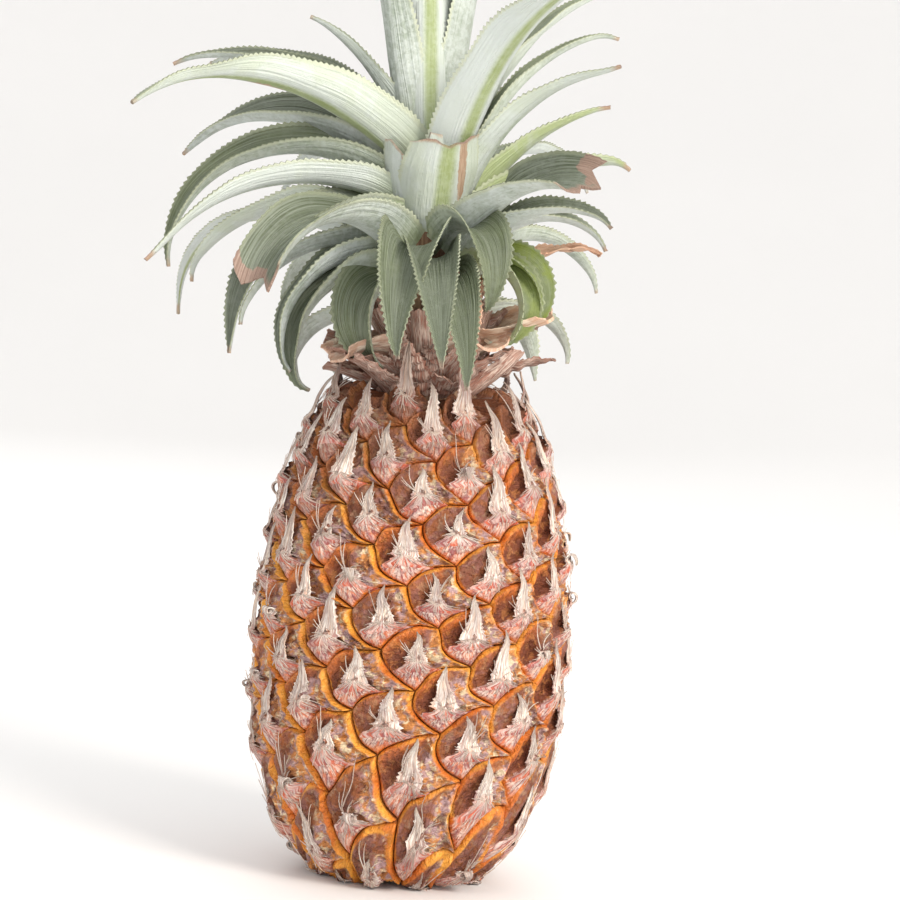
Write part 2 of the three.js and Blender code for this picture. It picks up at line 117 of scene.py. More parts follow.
def read_points(piece: Piece) -> Array:
    """A mesh's points in metres, one a row."""
    points = np.empty((len(piece.data.vertices), 3), np.float32)
    piece.data.vertices.foreach_get("co", points.ravel())
    return points


def move_points(piece: Piece, points: Array) -> None:
    """Moves a mesh's points to new places in metres."""
    piece.data.vertices.foreach_set("co", points.astype(np.float32).ravel())
    piece.data.update()


def cylinder(name: str, sides: int, radius: float, low: float, high: float) -> Piece:
    """Adds an upright cylinder on the fruit's axis.

    Args:
        name: The object's name.
        sides: How many sides it has.
        radius: Its radius, in millimetres.
        low: The height of its lower end, in millimetres.
        high: The height of its upper end, in millimetres.

    Returns:
        The cylinder, its object at the origin.
    """
    deselect()
    middle = (low + high) / 2 * MM
    bpy.ops.mesh.primitive_cylinder_add(
        vertices=sides, radius=radius * MM, depth=(high - low) * MM, location=(0, 0, middle)
    )
    bpy.ops.object.transform_apply(location=True, rotation=True, scale=True)
    return named(bpy.context.object, name)


def sheet_of_grid(name: str, across: int, along: int) -> Piece:
    """Adds a flat grid whose points are placed later.

    Args:
        name: The object's name.
        across: How many faces wide it is.
        along: How many faces long it is.

    Returns:
        The grid, with its UV map running 0 to 1 across and along.
    """
    deselect()
    bpy.ops.mesh.primitive_grid_add(x_subdivisions=across, y_subdivisions=along, size=1)
    return named(bpy.context.object, name)


def place_grid(sheet: Piece, points: Array) -> None:
    """Moves a grid's points to places in millimetres, given as along + 1 rows of across + 1 points."""
    move_points(sheet, points * MM)


def place_uvs(sheet: Piece, across: Array, along: Array) -> None:
    """Gives each point of a grid its own place in the UV square."""
    corners = np.empty(len(sheet.data.loops), np.int32)
    sheet.data.loops.foreach_get("vertex_index", corners)
    places = np.stack([across.ravel(), along.ravel()], axis=-1).astype(np.float32)
    sheet.data.uv_layers.active.data.foreach_set("uv", places[corners].ravel())


def tag_corners(sheet: Piece, name: str, a: float, b: float, c: float, d: float = 1) -> None:
    """Gives every corner of a mesh the same four numbers, as a colour attribute."""
    layer = sheet.data.attributes.new(name, "FLOAT_COLOR", "CORNER")
    layer.data.foreach_set("color", np.tile(np.array((a, b, c, d), np.float32), len(sheet.data.loops)))


def thicken(sheet: Piece, thickness: float, thin_edge: float = 1, second_material: bool = False) -> None:
    """Turns a sheet into a closed blade.

    Args:
        sheet: The sheet, whose vertex group "thick", if it has one, scales the thickness.
        thickness: The full thickness, in millimetres.
        thin_edge: The thickness where the vertex group is 0, as a share.
        second_material: Whether the under side takes the object's second material.
    """
    solid = sheet.modifiers.new("blade", "SOLIDIFY")
    solid.thickness = thickness * MM
    solid.offset = -1
    solid.use_even_offset = False
    if "thick" in sheet.vertex_groups:
        solid.vertex_group = "thick"
        solid.thickness_vertex_group = thin_edge
    if second_material:
        solid.material_offset = 1
        solid.material_offset_rim = 0
    activate(sheet)
    bpy.ops.object.modifier_apply(modifier=solid.name)


def copies_of(pattern: Piece, count: int) -> list[Piece]:
    """The pattern and its copies, each with its own mesh.

    Args:
        pattern: The object to repeat.
        count: How many there are in all.

    Returns:
        The objects, the pattern first.
    """
    pieces = [pattern]
    for _ in range(1, count):
        piece = pattern.copy()
        piece.data = pattern.data.copy()
        bpy.context.collection.objects.link(piece)
        pieces.append(piece)
    return pieces


def join(pieces: list[Piece], name: str) -> Piece:
    """Joins objects into the first of them, under a new name."""
    deselect()
    for piece in pieces:
        piece.select_set(True)
    bpy.context.view_layer.objects.active = pieces[0]
    bpy.ops.object.join()
    return named(bpy.context.object, name)


def finish_piece(piece: Piece, replaced: list[str], smooth_angle: float = 50) -> None:
    """Shades a piece, rides it on the fruit's body and hides the CAD nodes that it stands for.

    Args:
        piece: The finished mesh object, at the origin.
        replaced: The CAD nodes that it stands for.
        smooth_angle: Edges sharper than this many degrees stay sharp.
    """
    activate(piece)
    bpy.ops.object.shade_smooth_by_angle(angle=math.radians(smooth_angle))
    deselect()
    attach(piece, BODY)
    if replaced:
        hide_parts(*replaced)
    log.info("%s: %d faces", piece.name, len(piece.data.polygons))


# ---------------------------------------------------------------- shader nodes


def colour(code: str) -> tuple[float, float, float, float]:
    """An sRGB colour code as the linear colour that a socket takes."""
    parts = [int(code[i : i + 2], 16) / 255 for i in (1, 3, 5)]
    linear = [c / 12.92 if c <= 0.04045 else ((c + 0.055) / 1.055) ** 2.4 for c in parts]
    return (*linear, 1.0)


class Grey:
    """A number that varies over a surface. Arithmetic with it adds Math nodes."""

    def __init__(self, shade: "Shade", socket: bpy.types.NodeSocket) -> None:
        """Wraps an output socket of the tree that a Shade works on."""
        self.shade = shade
        self.socket = socket

    def __add__(self, other: object) -> "Grey":
        """The sum."""
        return self.shade.math("ADD", self, other)

    def __sub__(self, other: object) -> "Grey":
        """The difference."""
        return self.shade.math("SUBTRACT", self, other)

    def __rsub__(self, other: float) -> "Grey":
        """The difference from a plain number."""
        return self.shade.math("SUBTRACT", other, self)

    def __mul__(self, other: object) -> "Grey":
        """The product."""
        return self.shade.math("MULTIPLY", self, other)

    def __truediv__(self, other: object) -> "Grey":
        """The quotient."""
        return self.shade.math("DIVIDE", self, other)

    def __abs__(self) -> "Grey":
        """The distance from 0."""
        return self.shade.math("ABSOLUTE", self)


class Shade:
    """Adds shader nodes to one tree, in few words."""

    def __init__(self, tree: NodeTree) -> None:
        """Starts on a material's node tree or a node group."""
        self.tree = tree

    def add(self, kind: str, sockets: dict | None = None, **settings: object) -> bpy.types.Node:
        """Adds a node.

        Args:
            kind: The node's type name without its ShaderNode start.
            sockets: Input names or numbers, with a value or an output for each.
            settings: The node's own settings.

        Returns:
            The node.
        """
        node = self.tree.nodes.new("ShaderNode" + kind)
        for key, value in settings.items():
            setattr(node, key, value)
        for key, value in (sockets or {}).items():
            self.feed(node.inputs[key], value)
        return node

    def feed(self, socket: bpy.types.NodeSocket, value: object) -> None:
        """Links a socket to an output, or sets its value, which may be a colour code."""
        if isinstance(value, Grey):
            value = value.socket
        if isinstance(value, bpy.types.NodeSocket):
            self.tree.links.new(value, socket)
        else:
            socket.default_value = colour(value) if isinstance(value, str) else value

    def grey(self, kind: str, sockets: dict, **settings: object) -> Grey:
        """Adds a node and gives its first output as a number."""
        return Grey(self, self.add(kind, sockets, **settings).outputs[0])

    def math(self, operation: str, a: object, b: object = 0.0) -> Grey:
        """The result of a Math node."""
        return self.grey("Math", {0: a, 1: b}, operation=operation)

    def most(self, a: object, b: object) -> Grey:
        """The greater of two numbers."""
        return self.math("MAXIMUM", a, b)

    def ease(self, value: Grey, low: object, high: object, start: float = 0, end: float = 1) -> Grey:
        """Eases from start to end as a value goes from low to high."""
        sockets = {"Value": value, "From Min": low, "From Max": high, "To Min": start, "To Max": end}
        return self.grey("MapRange", sockets, interpolation_type="SMOOTHSTEP")

    def mix(self, share: object, a: object, b: object) -> bpy.types.NodeSocket:
        """A mix of two colours."""
        return self.add("Mix", {0: share, 6: a, 7: b}, data_type="RGBA").outputs[2]

    def coats(self, base: object, *coats: tuple[Grey, object]) -> object:
        """Lays colours over a base one after the other, each given as a mask and a colour."""
        for mask, coat in coats:
            base = self.mix(mask, base, coat)
        return base

    def noise(
        self, vector: object, scale: object, detail: float = 3, rough: float = 0.55, warp: float = 0
    ) -> Grey:
        """The grey value of a Noise texture."""
        sockets = {"Vector": vector, "Scale": scale, "Detail": detail, "Roughness": rough, "Distortion": warp}
        return self.grey("TexNoise", sockets)

    def split(self, vector: bpy.types.NodeSocket) -> list[Grey]:
        """A vector's three numbers."""
        return [Grey(self, output) for output in self.add("SeparateXYZ", {0: vector}).outputs]


Entry = dict[str, Grey]


def make_group(
    name: str, inputs: dict[str, float | None], mask: Callable[[Shade, Entry], Grey]
) -> NodeTree:
    """Builds a shader node group that puts out one mask.

    Args:
        name: The group's name.
        inputs: Its inputs, each with a default number, or None for a vector.
        mask: Works the mask out from the inputs.

    Returns:
        The group.
    """
    tree = bpy.data.node_groups.new(name, "ShaderNodeTree")
    for label, default in inputs.items():
        kind = "NodeSocketVector" if default is None else "NodeSocketFloat"
        socket = tree.interface.new_socket(label, in_out="INPUT", socket_type=kind)
        if default is not None:
            socket.default_value = default
    tree.interface.new_socket("Mask", in_out="OUTPUT", socket_type="NodeSocketFloat")
    shade = Shade(tree)
    entry = {socket.name: Grey(shade, socket) for socket in tree.nodes.new("NodeGroupInput").outputs}
    shade.feed(tree.nodes.new("NodeGroupOutput").inputs[0], mask(shade, entry))
    return tree


def fine_fibres(shade: Shade, entry: Entry) -> Grey:
    """Fine lines that run along a blade, differently for each seed."""
    seed_step = 37.0
    across, along = entry["Across"] * entry["Lines"], entry["Along"] * entry["Runs"]
    place = shade.add("CombineXYZ", {0: across, 1: along, 2: entry["Seed"] * seed_step}).outputs[0]
    return shade.ease(shade.noise(place, 1, 2, 0.6, 0.15), 0.36, 0.64)


def soft_patches(shade: Shade, entry: Entry) -> Grey:
    """Patches of a cloud that passes a level, with soft edges."""
    cloud = shade.noise(entry["Place"], entry["Scale"], 4, 0.6, 0.4)
    return shade.ease(cloud, entry["Level"] - entry["Edge"], entry["Level"] + entry["Edge"])


def dry_end(shade: Shade, entry: Entry) -> Grey:
    """A blade's dried end, from a ragged start."""
    torn = shade.noise(entry["Place"], 130, 3) - 0.5
    past = torn * (entry["Ragged"] * 2.0) + entry["Along"] - (1.0 - entry["Length"])
    return shade.ease(past, -0.02, 0.03)


@dataclass(frozen=True)
class Effects:
    """The shader node groups that several finishes share."""

    fibres: NodeTree
    patches: NodeTree
    dry_end: NodeTree


def make_effects() -> Effects:
    """Builds the shared shader node groups."""
    lines = {"Across": 0, "Along": 0, "Lines": 40, "Runs": 3, "Seed": 0}
    return Effects(
        make_group("fine_fibres", lines, fine_fibres),
        make_group("soft_patches", {"Place": None, "Scale": 60, "Level": 0.5, "Edge": 0.08}, soft_patches),
        make_group("dry_end", {"Place": None, "Along": 0, "Length": 0.1, "Ragged": 0.08}, dry_end),
    )


class Surface(Shade):
    """A material in the making, with the shared effects at hand and its relief's full depth in metres."""

    relief_depth = 0.0005

    def __init__(self, name: str, effects: Effects | None = None) -> None:
        """Starts a material under a name, with the shared effects if it needs them."""
        self.material = bpy.data.materials.new(name)
        self.material.use_nodes = True
        super().__init__(self.material.node_tree)
        self.effects = effects
        self.place = self.add("TexCoord").outputs["Object"]

    def grid(self) -> list[Grey]:
        """The place across and along the piece's own UV map."""
        return self.split(self.add("UVMap").outputs["UV"])[:2]

    def tags(self, name: str) -> list[Grey]:
        """The four numbers of a colour attribute."""
        node = self.add("Attribute", attribute_name=name)
        return [*self.split(node.outputs["Vector"]), Grey(self, node.outputs["Alpha"])]

    def fibres(self, across: Grey, along: Grey, lines: float, runs: float, seed: Grey) -> Grey:
        """Fine lines along a blade: how many lie across it, how often they break, and their seed."""
        sockets = {"Across": across, "Along": along, "Lines": lines, "Runs": runs, "Seed": seed}
        return self.grey("Group", sockets, node_tree=self.effects.fibres)

    def patches(self, scale: float, level: float, edge: float) -> Grey:
        """Soft patches over the object: the fewer, the higher the level."""
        sockets = {"Place": self.place, "Scale": scale, "Level": level, "Edge": edge}
        return self.grey("Group", sockets, node_tree=self.effects.patches)

    def dried(self, along: Grey, length: object, ragged: float) -> Grey:
        """The dried end of a blade, its length a share of the blade's."""
        sockets = {"Place": self.place, "Along": along, "Length": length, "Ragged": ragged}
        return self.grey("Group", sockets, node_tree=self.effects.dry_end)

    def finish(
        self, base: object, roughness: object, gloss: float, relief: Grey | None = None, strength: float = 1
    ) -> Material:
        """Feeds the Principled BSDF.

        Args:
            base: The base colour.
            roughness: The roughness.
            gloss: The specular level.
            relief: The height that bumps the surface, if anything does.
            strength: The bump's strength.

        Returns:
            The material.
        """
        skin = self.tree.nodes["Principled BSDF"]
        self.feed(skin.inputs["Base Color"], base)
        self.feed(skin.inputs["Roughness"], roughness)
        self.feed(skin.inputs["Specular IOR Level"], gloss)
        if relief is not None:
            bump = self.add("Bump", {"Height": relief, "Strength": strength, "Distance": self.relief_depth})
            self.feed(skin.inputs["Normal"], bump.outputs["Normal"])
        return self.material


@dataclass(frozen=True)
class ShieldShape:
    """The upper edge of an eye's shield, in the eye's own places, with its peak at the tongue's axis."""

    axis: float = 0.12
    shoulder: float = -0.47
    peak: float = 0.5
    spread: float = 0.2
    fan_at: float = -0.12
    lean: float = 0.42
    crossing: float = -0.19

    def top(self, u: Array) -> Array:
        """The height v of the shield's upper edge at u."""
        return self.shoulder + self.peak * np.exp(-np.abs(u - self.axis) / self.spread)

    def beside_tongue(self, u: Array, v: Array) -> Array:
        """How far a place lies to the right of the tongue."""
        return u - self.axis + self.lean * (v - self.crossing)


SHIELD = ShieldShape()


# ---------------------------------------------------------------- finishes


@dataclass(frozen=True)
class RindFinish:
    """The fruit's skin: orange rims and grooves, and salmon shields under a hollow and a mottled swelling."""

    groove: str = "#6e2e0e"
    orange: str = "#e8822a"
    rim: str = "#eea640"
    rim_shade: str = "#d9762a"
    salmon: str = "#e2805a"
    streak: str = "#7a5064"
    fibre: str = "#fbeadb"
    # the hollow's dark brown: partly its own colour, partly painted shade cast by the tongue and the recess
    hollow: str = "#7a3e24"
    hollow_wall: str = "#cf6f2c"
    lilac: str = "#c4a3a4"
    tan: str = "#de9450"
    cream: str = "#fbe9c0"
    dark_spot: str = "#5e2e1e"
    # brown for painted shade on the upper left, and for the real browning round the neck
    shade_and_brown: str = "#7d4f38"

    def build(self, effects: Effects) -> Material:
        """Makes the material, which reads each eye's own UV square and the attribute "eye".

        Args:
            effects: The shared node groups.

        Returns:
            The material.
        """
        skin = Surface("rind", effects)
        across, up = skin.grid()
        seed, other_seed, filled, _ = skin.tags("eye")
        gentle, steep = across - 0.5, up - 0.5
        u, v = gentle - steep, gentle + steep
        edge = 0.5 - skin.most(abs(gentle), abs(steep))
        ragged = skin.noise(skin.place, 420, 3) - 0.5
        soft = skin.noise(skin.place, 140, 2) - 0.5
        edge_torn = edge + ragged * 0.09 + soft * 0.08

        # fibres fan down the shield from the foot of the bract's tongue
        from_axis = u - SHIELD.axis
        below = SHIELD.fan_at - v
        angle = skin.math("ARCTAN2", from_axis, below)
        reach = skin.math("SQRT", below * below + from_axis * from_axis)
        rays = skin.fibres(angle, reach, 5, 3.5, seed)
        fine_rays = skin.fibres(angle, reach, 13, 6, other_seed)
        fringe = skin.ease(edge_torn, 0.005, 0.06, 1, 0)
        foot = skin.ease(v + soft * 0.6, -1.0, -0.78, 0.8, 0)
        shield = skin.coats(
            self.salmon,
            (skin.ease(rays, 0, 1, 0, 0.7), self.streak),
            (fine_rays * skin.ease(reach, 0.25, 0.95, 1.0, 0.35) * 0.95, self.fibre),
            (skin.most(fringe, foot), self.orange),
        )

        # above it a smooth hollow on the left, dark brown partly of its own and partly as painted shade cast
        # by the tongue, a mottled swelling on the right with painted shade next to the tongue, and an orange
        # rim over both
        fine_mottle = skin.patches(600, 0.52, 0.1)
        pale_spots = skin.patches(330, 0.56, 0.05)
        cracks = skin.patches(170, 0.57, 0.03)
        wrinkles = skin.fibres(angle, reach, 7, 4, other_seed)
        near_tongue = from_axis + v * SHIELD.lean
        swelling = skin.coats(
            self.lilac,
            (skin.patches(260, 0.5, 0.07), self.tan),
            (pale_spots * 0.85, self.cream),
            (fine_mottle * 0.35, self.dark_spot),
            (wrinkles * 0.3, self.dark_spot),
            (cracks * 0.7, self.dark_spot),
            # painted shade: the swelling darkens to the hollow's brown next to the tongue, over some brown of
            # its own
            (skin.ease(near_tongue + soft * 0.8, 0.0, 0.22, 0.8, 0), self.hollow),
        )
        # painted shade: the hollow darkens from its orange wall into the recess and towards the tongue, over
        # its own darker brown
        deep = skin.coats(
            self.hollow_wall,
            (skin.ease(0.5 - steep + soft * 0.15, 0.08, 0.34), self.hollow),
            (wrinkles * 0.5, self.dark_spot),
            (pale_spots * 0.35, self.tan),
        )
        side = skin.most(skin.ease(near_tongue + ragged * 0.2, -0.1, 0.08), skin.ease(filled, 0.5, 0.8))
        rim = skin.mix(skin.ease(skin.noise(skin.place, 90, 2), 0.35, 0.65), self.rim, self.rim_shade)
        from_rim = skin.math("MINIMUM", 0.5 - gentle + ragged * 0.08, edge + 0.03)
        from_rim = from_rim - skin.ease(filled, 0.95, 1.3, 0, 0.07)
        broad = skin.ease(from_rim, 0.04, 0.1, 1, 0) * side
        narrow = skin.ease(edge_torn, 0.02, 0.08, 1, 0) * 0.85
        upper = skin.coats(deep, (side, swelling), (skin.most(broad, narrow), rim))

        # painted shade darkens the upper left, the side away from the key light, in uneven patches; the eyes
        # round the neck are browner in their own colour
        x, _, z = skin.split(skin.place)
        # painted shade: stronger higher on the fruit and further left, away from the key light
        high = skin.ease(z - x * 0.55, 0.122, 0.172)
        round_neck = skin.ease(z, 0.146, 0.166)
        shade_and_browning = skin.most((high + skin.patches(24, 0.55, 0.2) * 0.2) * 0.6, round_neck * 0.85)

        top = skin.math("EXPONENT", abs(from_axis) / -SHIELD.spread) * SHIELD.peak + SHIELD.shoulder
        over = v + ragged * 0.1 - top
        base = skin.coats(
            shield,
            (skin.ease(over, -0.02, 0.03), upper),
            (skin.ease(edge, 0.003, 0.02, 0.9, 0), self.groove),
            (skin.patches(900, 0.62, 0.06) * 0.4, self.dark_spot),
            (shade_and_browning, self.shade_and_brown),
        )
        relief = (rays * 0.6 + fine_rays * 0.5) * skin.ease(over, -0.02, 0.04, 1, 0.1)
        relief = relief + fine_mottle * 0.3 + skin.noise(skin.place, 1400, 2) * 0.2
        relief = relief - wrinkles * 0.5 - cracks * 0.6
        skin.relief_depth = 0.0008
        return skin.finish(base, skin.ease(edge_torn, 0.03, 0.2, 0.38, 0.55), 0.4, relief, 0.9)


@dataclass(frozen=True)
class PaperFinish:
    """A dry papery blade: pale fibres over a darker ground, with a browned end."""

    name: str
    ground: str
    streak: str
    fibre: str
    end: str
    lines: float = 14
    foot: str = ""
    brown: str = "#7d5748"
    brown_share: float = 0.6
    foot_reach: float = 0.45
    streak_share: float = 0.6
    end_length: float = 0.12

    def build(self, effects: Effects) -> Material:
        """Makes the material, which reads the sheet's UV map and the attribute "blade".

        Args:
            effects: The shared node groups.

        Returns:
            The material.
        """
        paper = Surface(self.name, effects)
        across, along = paper.grid()
        seed, other_seed, browned, _ = paper.tags("blade")
        coarse = paper.fibres(across - 0.5, along, self.lines, 2.2, seed)
        fine = paper.fibres(across - 0.5, along, 2.7 * self.lines, 5, other_seed)
        base = paper.coats(
            self.ground,
            (paper.ease(along, 0.1, self.foot_reach, 1, 0), self.foot or self.ground),
            (coarse * self.streak_share, self.streak),
            (fine * paper.ease(along, 0, 0.5, 0.45, 0.85), self.fibre),
            (paper.dried(along, self.end_length, 0.1) * 0.6, self.end),
            (paper.patches(90, 0.55, 0.15) * 0.35, self.streak),
            (browned * self.brown_share, self.brown),
        )
        relief = coarse * 0.8 + fine * 0.6
        return paper.finish(base, paper.ease(fine, 0, 1, 0.85, 0.68), 0.3, relief, 0.9)


@dataclass(frozen=True)
class LeafFinish:
    """One face of a crown leaf: fine pale lines under a silvery bloom, pale margins and a dried tip."""

    name: str
    green: str
    deep: str
    line: str
    bloom: str
    margin: str
    dry: str
    dry_pale: str
    fresh: str
    line_share: float
    bloom_share: float
    vein_lines: float = 18

    def build(self, effects: Effects) -> Material:
        """Makes the material.

        It reads the UV map and three attributes: "blade", "leaf" (how pale, how yellow and how far dried the
        leaf is), and "mark" (how far across and along a withered place lies, and its half width and length).

        Args:
            effects: The shared node groups.

        Returns:
            The material.
        """
        blade = Surface(self.name, effects)
        across, along = blade.grid()
        pale, yellowed, dry_length, _ = blade.tags("leaf")
        seed, other_seed, *_ = blade.tags("blade")
        mark_across, mark_along, mark_width, mark_length = blade.tags("mark")
        from_middle = abs(across * 2.0 - 1.0)
        veins = blade.fibres(across, along, self.vein_lines, 1.2, seed)
        fine = blade.fibres(across, along, 3 * self.vein_lines, 3, other_seed)
        clouds = blade.patches(75, 0.5, 0.16)
        speckle = blade.patches(560, 0.5, 0.12)

        bloom = clouds * 0.3 + speckle * 0.25 + (pale * 0.75 + self.bloom_share)
        stripe = blade.ease(from_middle, 0.08, 0.4, 0.8, 0) * blade.ease(pale, 0.65, 0.9)
        yellow = blade.most(stripe * 0.75, yellowed * blade.ease(from_middle + clouds, 0.5, 1.6, 0.35, 1))
        root = blade.ease(along, 0.02, 0.22, 0.45, 0)

        aside = (across - mark_across) / mark_width
        ahead = (along - mark_along) / mark_length
        torn = blade.noise(blade.place, 260, 3) - 0.5
        withered = blade.ease(aside * aside + ahead * ahead + torn * 2.4, 0.75, 1.1, 1, 0)
        dried = blade.dried(along, dry_length, 0.05)
        base = blade.coats(
            self.green,
            (veins * 0.6, self.deep),
            (fine * self.line_share, self.line),
            (blade.ease(bloom - stripe, 0.2, 1.15), self.bloom),
            (blade.most(yellow, root), self.fresh),
            (blade.ease(from_middle, 0.93, 0.98, 0, 0.7), self.margin),
            (blade.most(dried, withered), blade.mix(fine * 0.6, self.dry, self.dry_pale)),
        )
        relief = veins * 0.7 + fine * 0.4 + speckle * 0.2
        return blade.finish(base, blade.ease(speckle, 0, 1, 0.38, 0.55), 0.4, relief, 0.6)


@dataclass(frozen=True)
class StalkFinish:
    """The cut stalk: pale end grain with darker bundles, browned at its edge."""

    pale: str = "#b99c6c"
    bundle: str = "#6d4f2f"
    bark: str = "#7a5d3c"

    def build(self, effects: Effects) -> Material:
        """Makes the material.

        Args:
            effects: The shared node groups.

        Returns:
            The material.
        """
        stalk = Surface("cut_stalk", effects)
        spots = stalk.patches(900, 0.58, 0.05)
        cloud = stalk.patches(120, 0.5, 0.2)
        x, y, _ = stalk.split(stalk.place)
        from_axis = stalk.math("SQRT", x * x + y * y)
        base = stalk.coats(
            self.pale,
            (spots * 0.8, self.bundle),
            (cloud * 0.4, self.bark),
            (stalk.ease(from_axis, 0.0108, 0.0122), self.bark),
        )
        return stalk.finish(base, stalk.ease(spots, 0, 1, 0.8, 0.95), 0.5, spots * 0.5 + cloud, 0.7)


# ---------------------------------------------------------------- fruit


@dataclass
class FruitForm:
    """The fruit's surface of revolution and the spiral of eyes on it, in millimetres."""

    radius: float = 52.5
    foot_radius: float = 18.5
    neck_radius: float = 22.5
    widest: float = 76
    bottom: float = 1.4
    top: float = 171
    foot_ring: float = 14.6
    neck_ring: float = 19.5
    gentle_rows: int = 8
    steep_rows: int = 13
    first_eye: int = -8
    last_eye: int = 146
    first_turn: float = math.radians(-4)
    turn_start: float = 2.9
    turn_scale: float = 0.955
    drift_most: float = math.radians(7.6)
    drift_height: float = 86
    drift_curve: float = math.radians(1 / 489)
    sway: float = 0.018
    sway_wave: float = 0.42
    gentle_bow: float = -0.18
    steep_bow: float = 0.19
    eye_rise: float = 1.04
    base_rise: float = 1.2
    base_at: float = 34
    base_spread: float = 30
    foot_crowding: float = 0.5
    crowding_run: float = 6
    steps: int = 600
    r: Array = field(init=False)
    z: Array = field(init=False)
    turn: Array = field(init=False)
    rise: Array = field(init=False)

    def __post_init__(self) -> None:
        """Works out the outline and the spiral's running number along it."""
        psi = (np.arange(self.steps + 1) / self.steps - 0.5) * math.pi
        upper = psi > 0
        end = np.where(upper, self.neck_radius, self.foot_radius)
        tall = np.where(upper, self.top - self.widest, self.widest - self.bottom)
        r = end + (self.radius - end) * np.cos(psi)
        z = self.widest + tall * np.sin(psi)
        self.r = np.concatenate([[self.foot_ring], r, [self.neck_ring]])
        self.z = np.concatenate([[self.bottom], z, [self.top]])
        step = np.concatenate([[0], np.hypot(np.diff(self.r), np.diff(self.z))])
        run = np.cumsum(step)
        crowded = 1 - self.foot_crowding * np.exp(-run / self.crowding_run)
        near_base = np.exp(-(((run - self.base_at) / self.base_spread) ** 2))
        self.rise = self.eye_rise * crowded + self.base_rise * near_base
        half_eye = (self.gentle_rows + self.steep_rows) / 2
        self.turn = (np.cumsum(step / self.rise) - self.turn_start) / self.turn_scale - half_eye

    @property
    def eyes(self) -> range:
        """The numbers of the eyes, from the lowest."""
        return range(self.first_eye, self.last_eye + 1)

    def radius_at(self, turn: Array) -> Array:
        """The mean surface's radius at running numbers on the spiral."""
        return np.interp(turn, self.turn, self.r)

    def rise_at(self, turn: float) -> float:
        """How far along the outline one step of the spiral goes."""
        return float(np.interp(turn, self.turn, self.rise)) * self.turn_scale

    def on_fruit(self, turn: Array, angle: Array, height: Array) -> Array:
        """Points over the mean surface.

        Args:
            turn: Running numbers on the spiral.
            angle: Azimuths, in radians.
            height: How far off the mean surface each point is.

        Returns:
            The points, one a row of the last axis.
        """
        i = np.clip(np.searchsorted(self.turn, turn), 1, len(self.turn) - 1)
        share = np.clip((turn - self.turn[i - 1]) / (self.turn[i] - self.turn[i - 1]), -2, 40)
        dr = self.r[i] - self.r[i - 1]
        dz = self.z[i] - self.z[i - 1]
        run = np.hypot(dr, dz)
        r = self.r[i - 1] + dr * share + dz / run * height
        z = self.z[i - 1] + dz * share - dr / run * height
        return np.stack([r * np.sin(angle), -r * np.cos(angle), z], axis=-1)

    def spot(self, k: int, u: Array, v: Array) -> tuple[Array, Array]:
        """The running number and azimuth of places on eye k.

        Args:
            k: The eye's number.
            u: Places across it, from its left corner (-1) to its right one (1).
            v: Places up it, from its bottom corner (-1) to its top one (1).

        Returns:
            The running numbers and the azimuths. An eye's sides are bowed, and the eyes drift with height.
        """
        gentle_turn = self.gentle_rows * GOLDEN_TURN % (2 * math.pi)
        steep_turn = self.steep_rows * GOLDEN_TURN % (2 * math.pi) - 2 * math.pi
        gentle = (u + v) / 2
        steep = (v - u) / 2
        bowed = gentle + self.gentle_bow * np.cos(math.pi * steep)
        steep = steep + self.steep_bow * np.cos(math.pi * gentle)
        turn = k + self.gentle_rows * bowed + self.steep_rows * steep
        height = np.interp(turn, self.turn, self.z)
        drift = self.drift_most - self.drift_curve * (height - self.drift_height) ** 2
        angle = self.first_turn + k * GOLDEN_TURN + gentle_turn * bowed + steep_turn * steep + drift
        around = np.stack([np.cos(angle), np.sin(angle), height / self.radius], -1)
        angle = angle + self.sway * wobble(around, self.sway_wave, 9)
        turn = turn + self.sway * self.radius * wobble(around, self.sway_wave, 10)
        return turn, angle

    def on_eye(self, k: int, u: Array, v: Array, height: Array) -> Array:
        """Points of eye k, at places from spot and heights off the mean surface."""
        turn, angle = self.spot(k, u, v)
        return self.on_fruit(turn, angle, height)

    def half_width(self, k: int) -> float:
        """Half the distance between an eye's left and right corners."""
        ends = self.on_eye(k, np.array([-1.0, 1.0]), np.zeros(2), np.zeros(2))
        return float(np.linalg.norm(ends[1] - ends[0])) / 2


@dataclass(frozen=True)
class EyeRelief:
    """How high the parts of an eye stand off the fruit's mean surface, in millimetres."""

    groove: float = -0.9
    shield: float = 1.0
    shield_swell: float = 2.0
    ridge: float = 1.3
    wall: float = 1.9
    hollow: float = 2.0
    filling: float = 1.3
    cushion: float = 1.5
    mound: float = 2.3
    rim_step: float = 1.3
    bulge: float = 1.9
    folds: float = 0.5
    wrinkle: float = 0.7
    shield_crumple: float = 0.22
    crumple: float = 0.3


RELIEF = EyeRelief()
LOW_EYES = 24


def mottled_share(k: int) -> float:
    """How far an eye's hollow is filled by a mottled swelling: at random, and always low on the fruit."""
    return max(chance(k, 13), 1.3 - k / LOW_EYES)


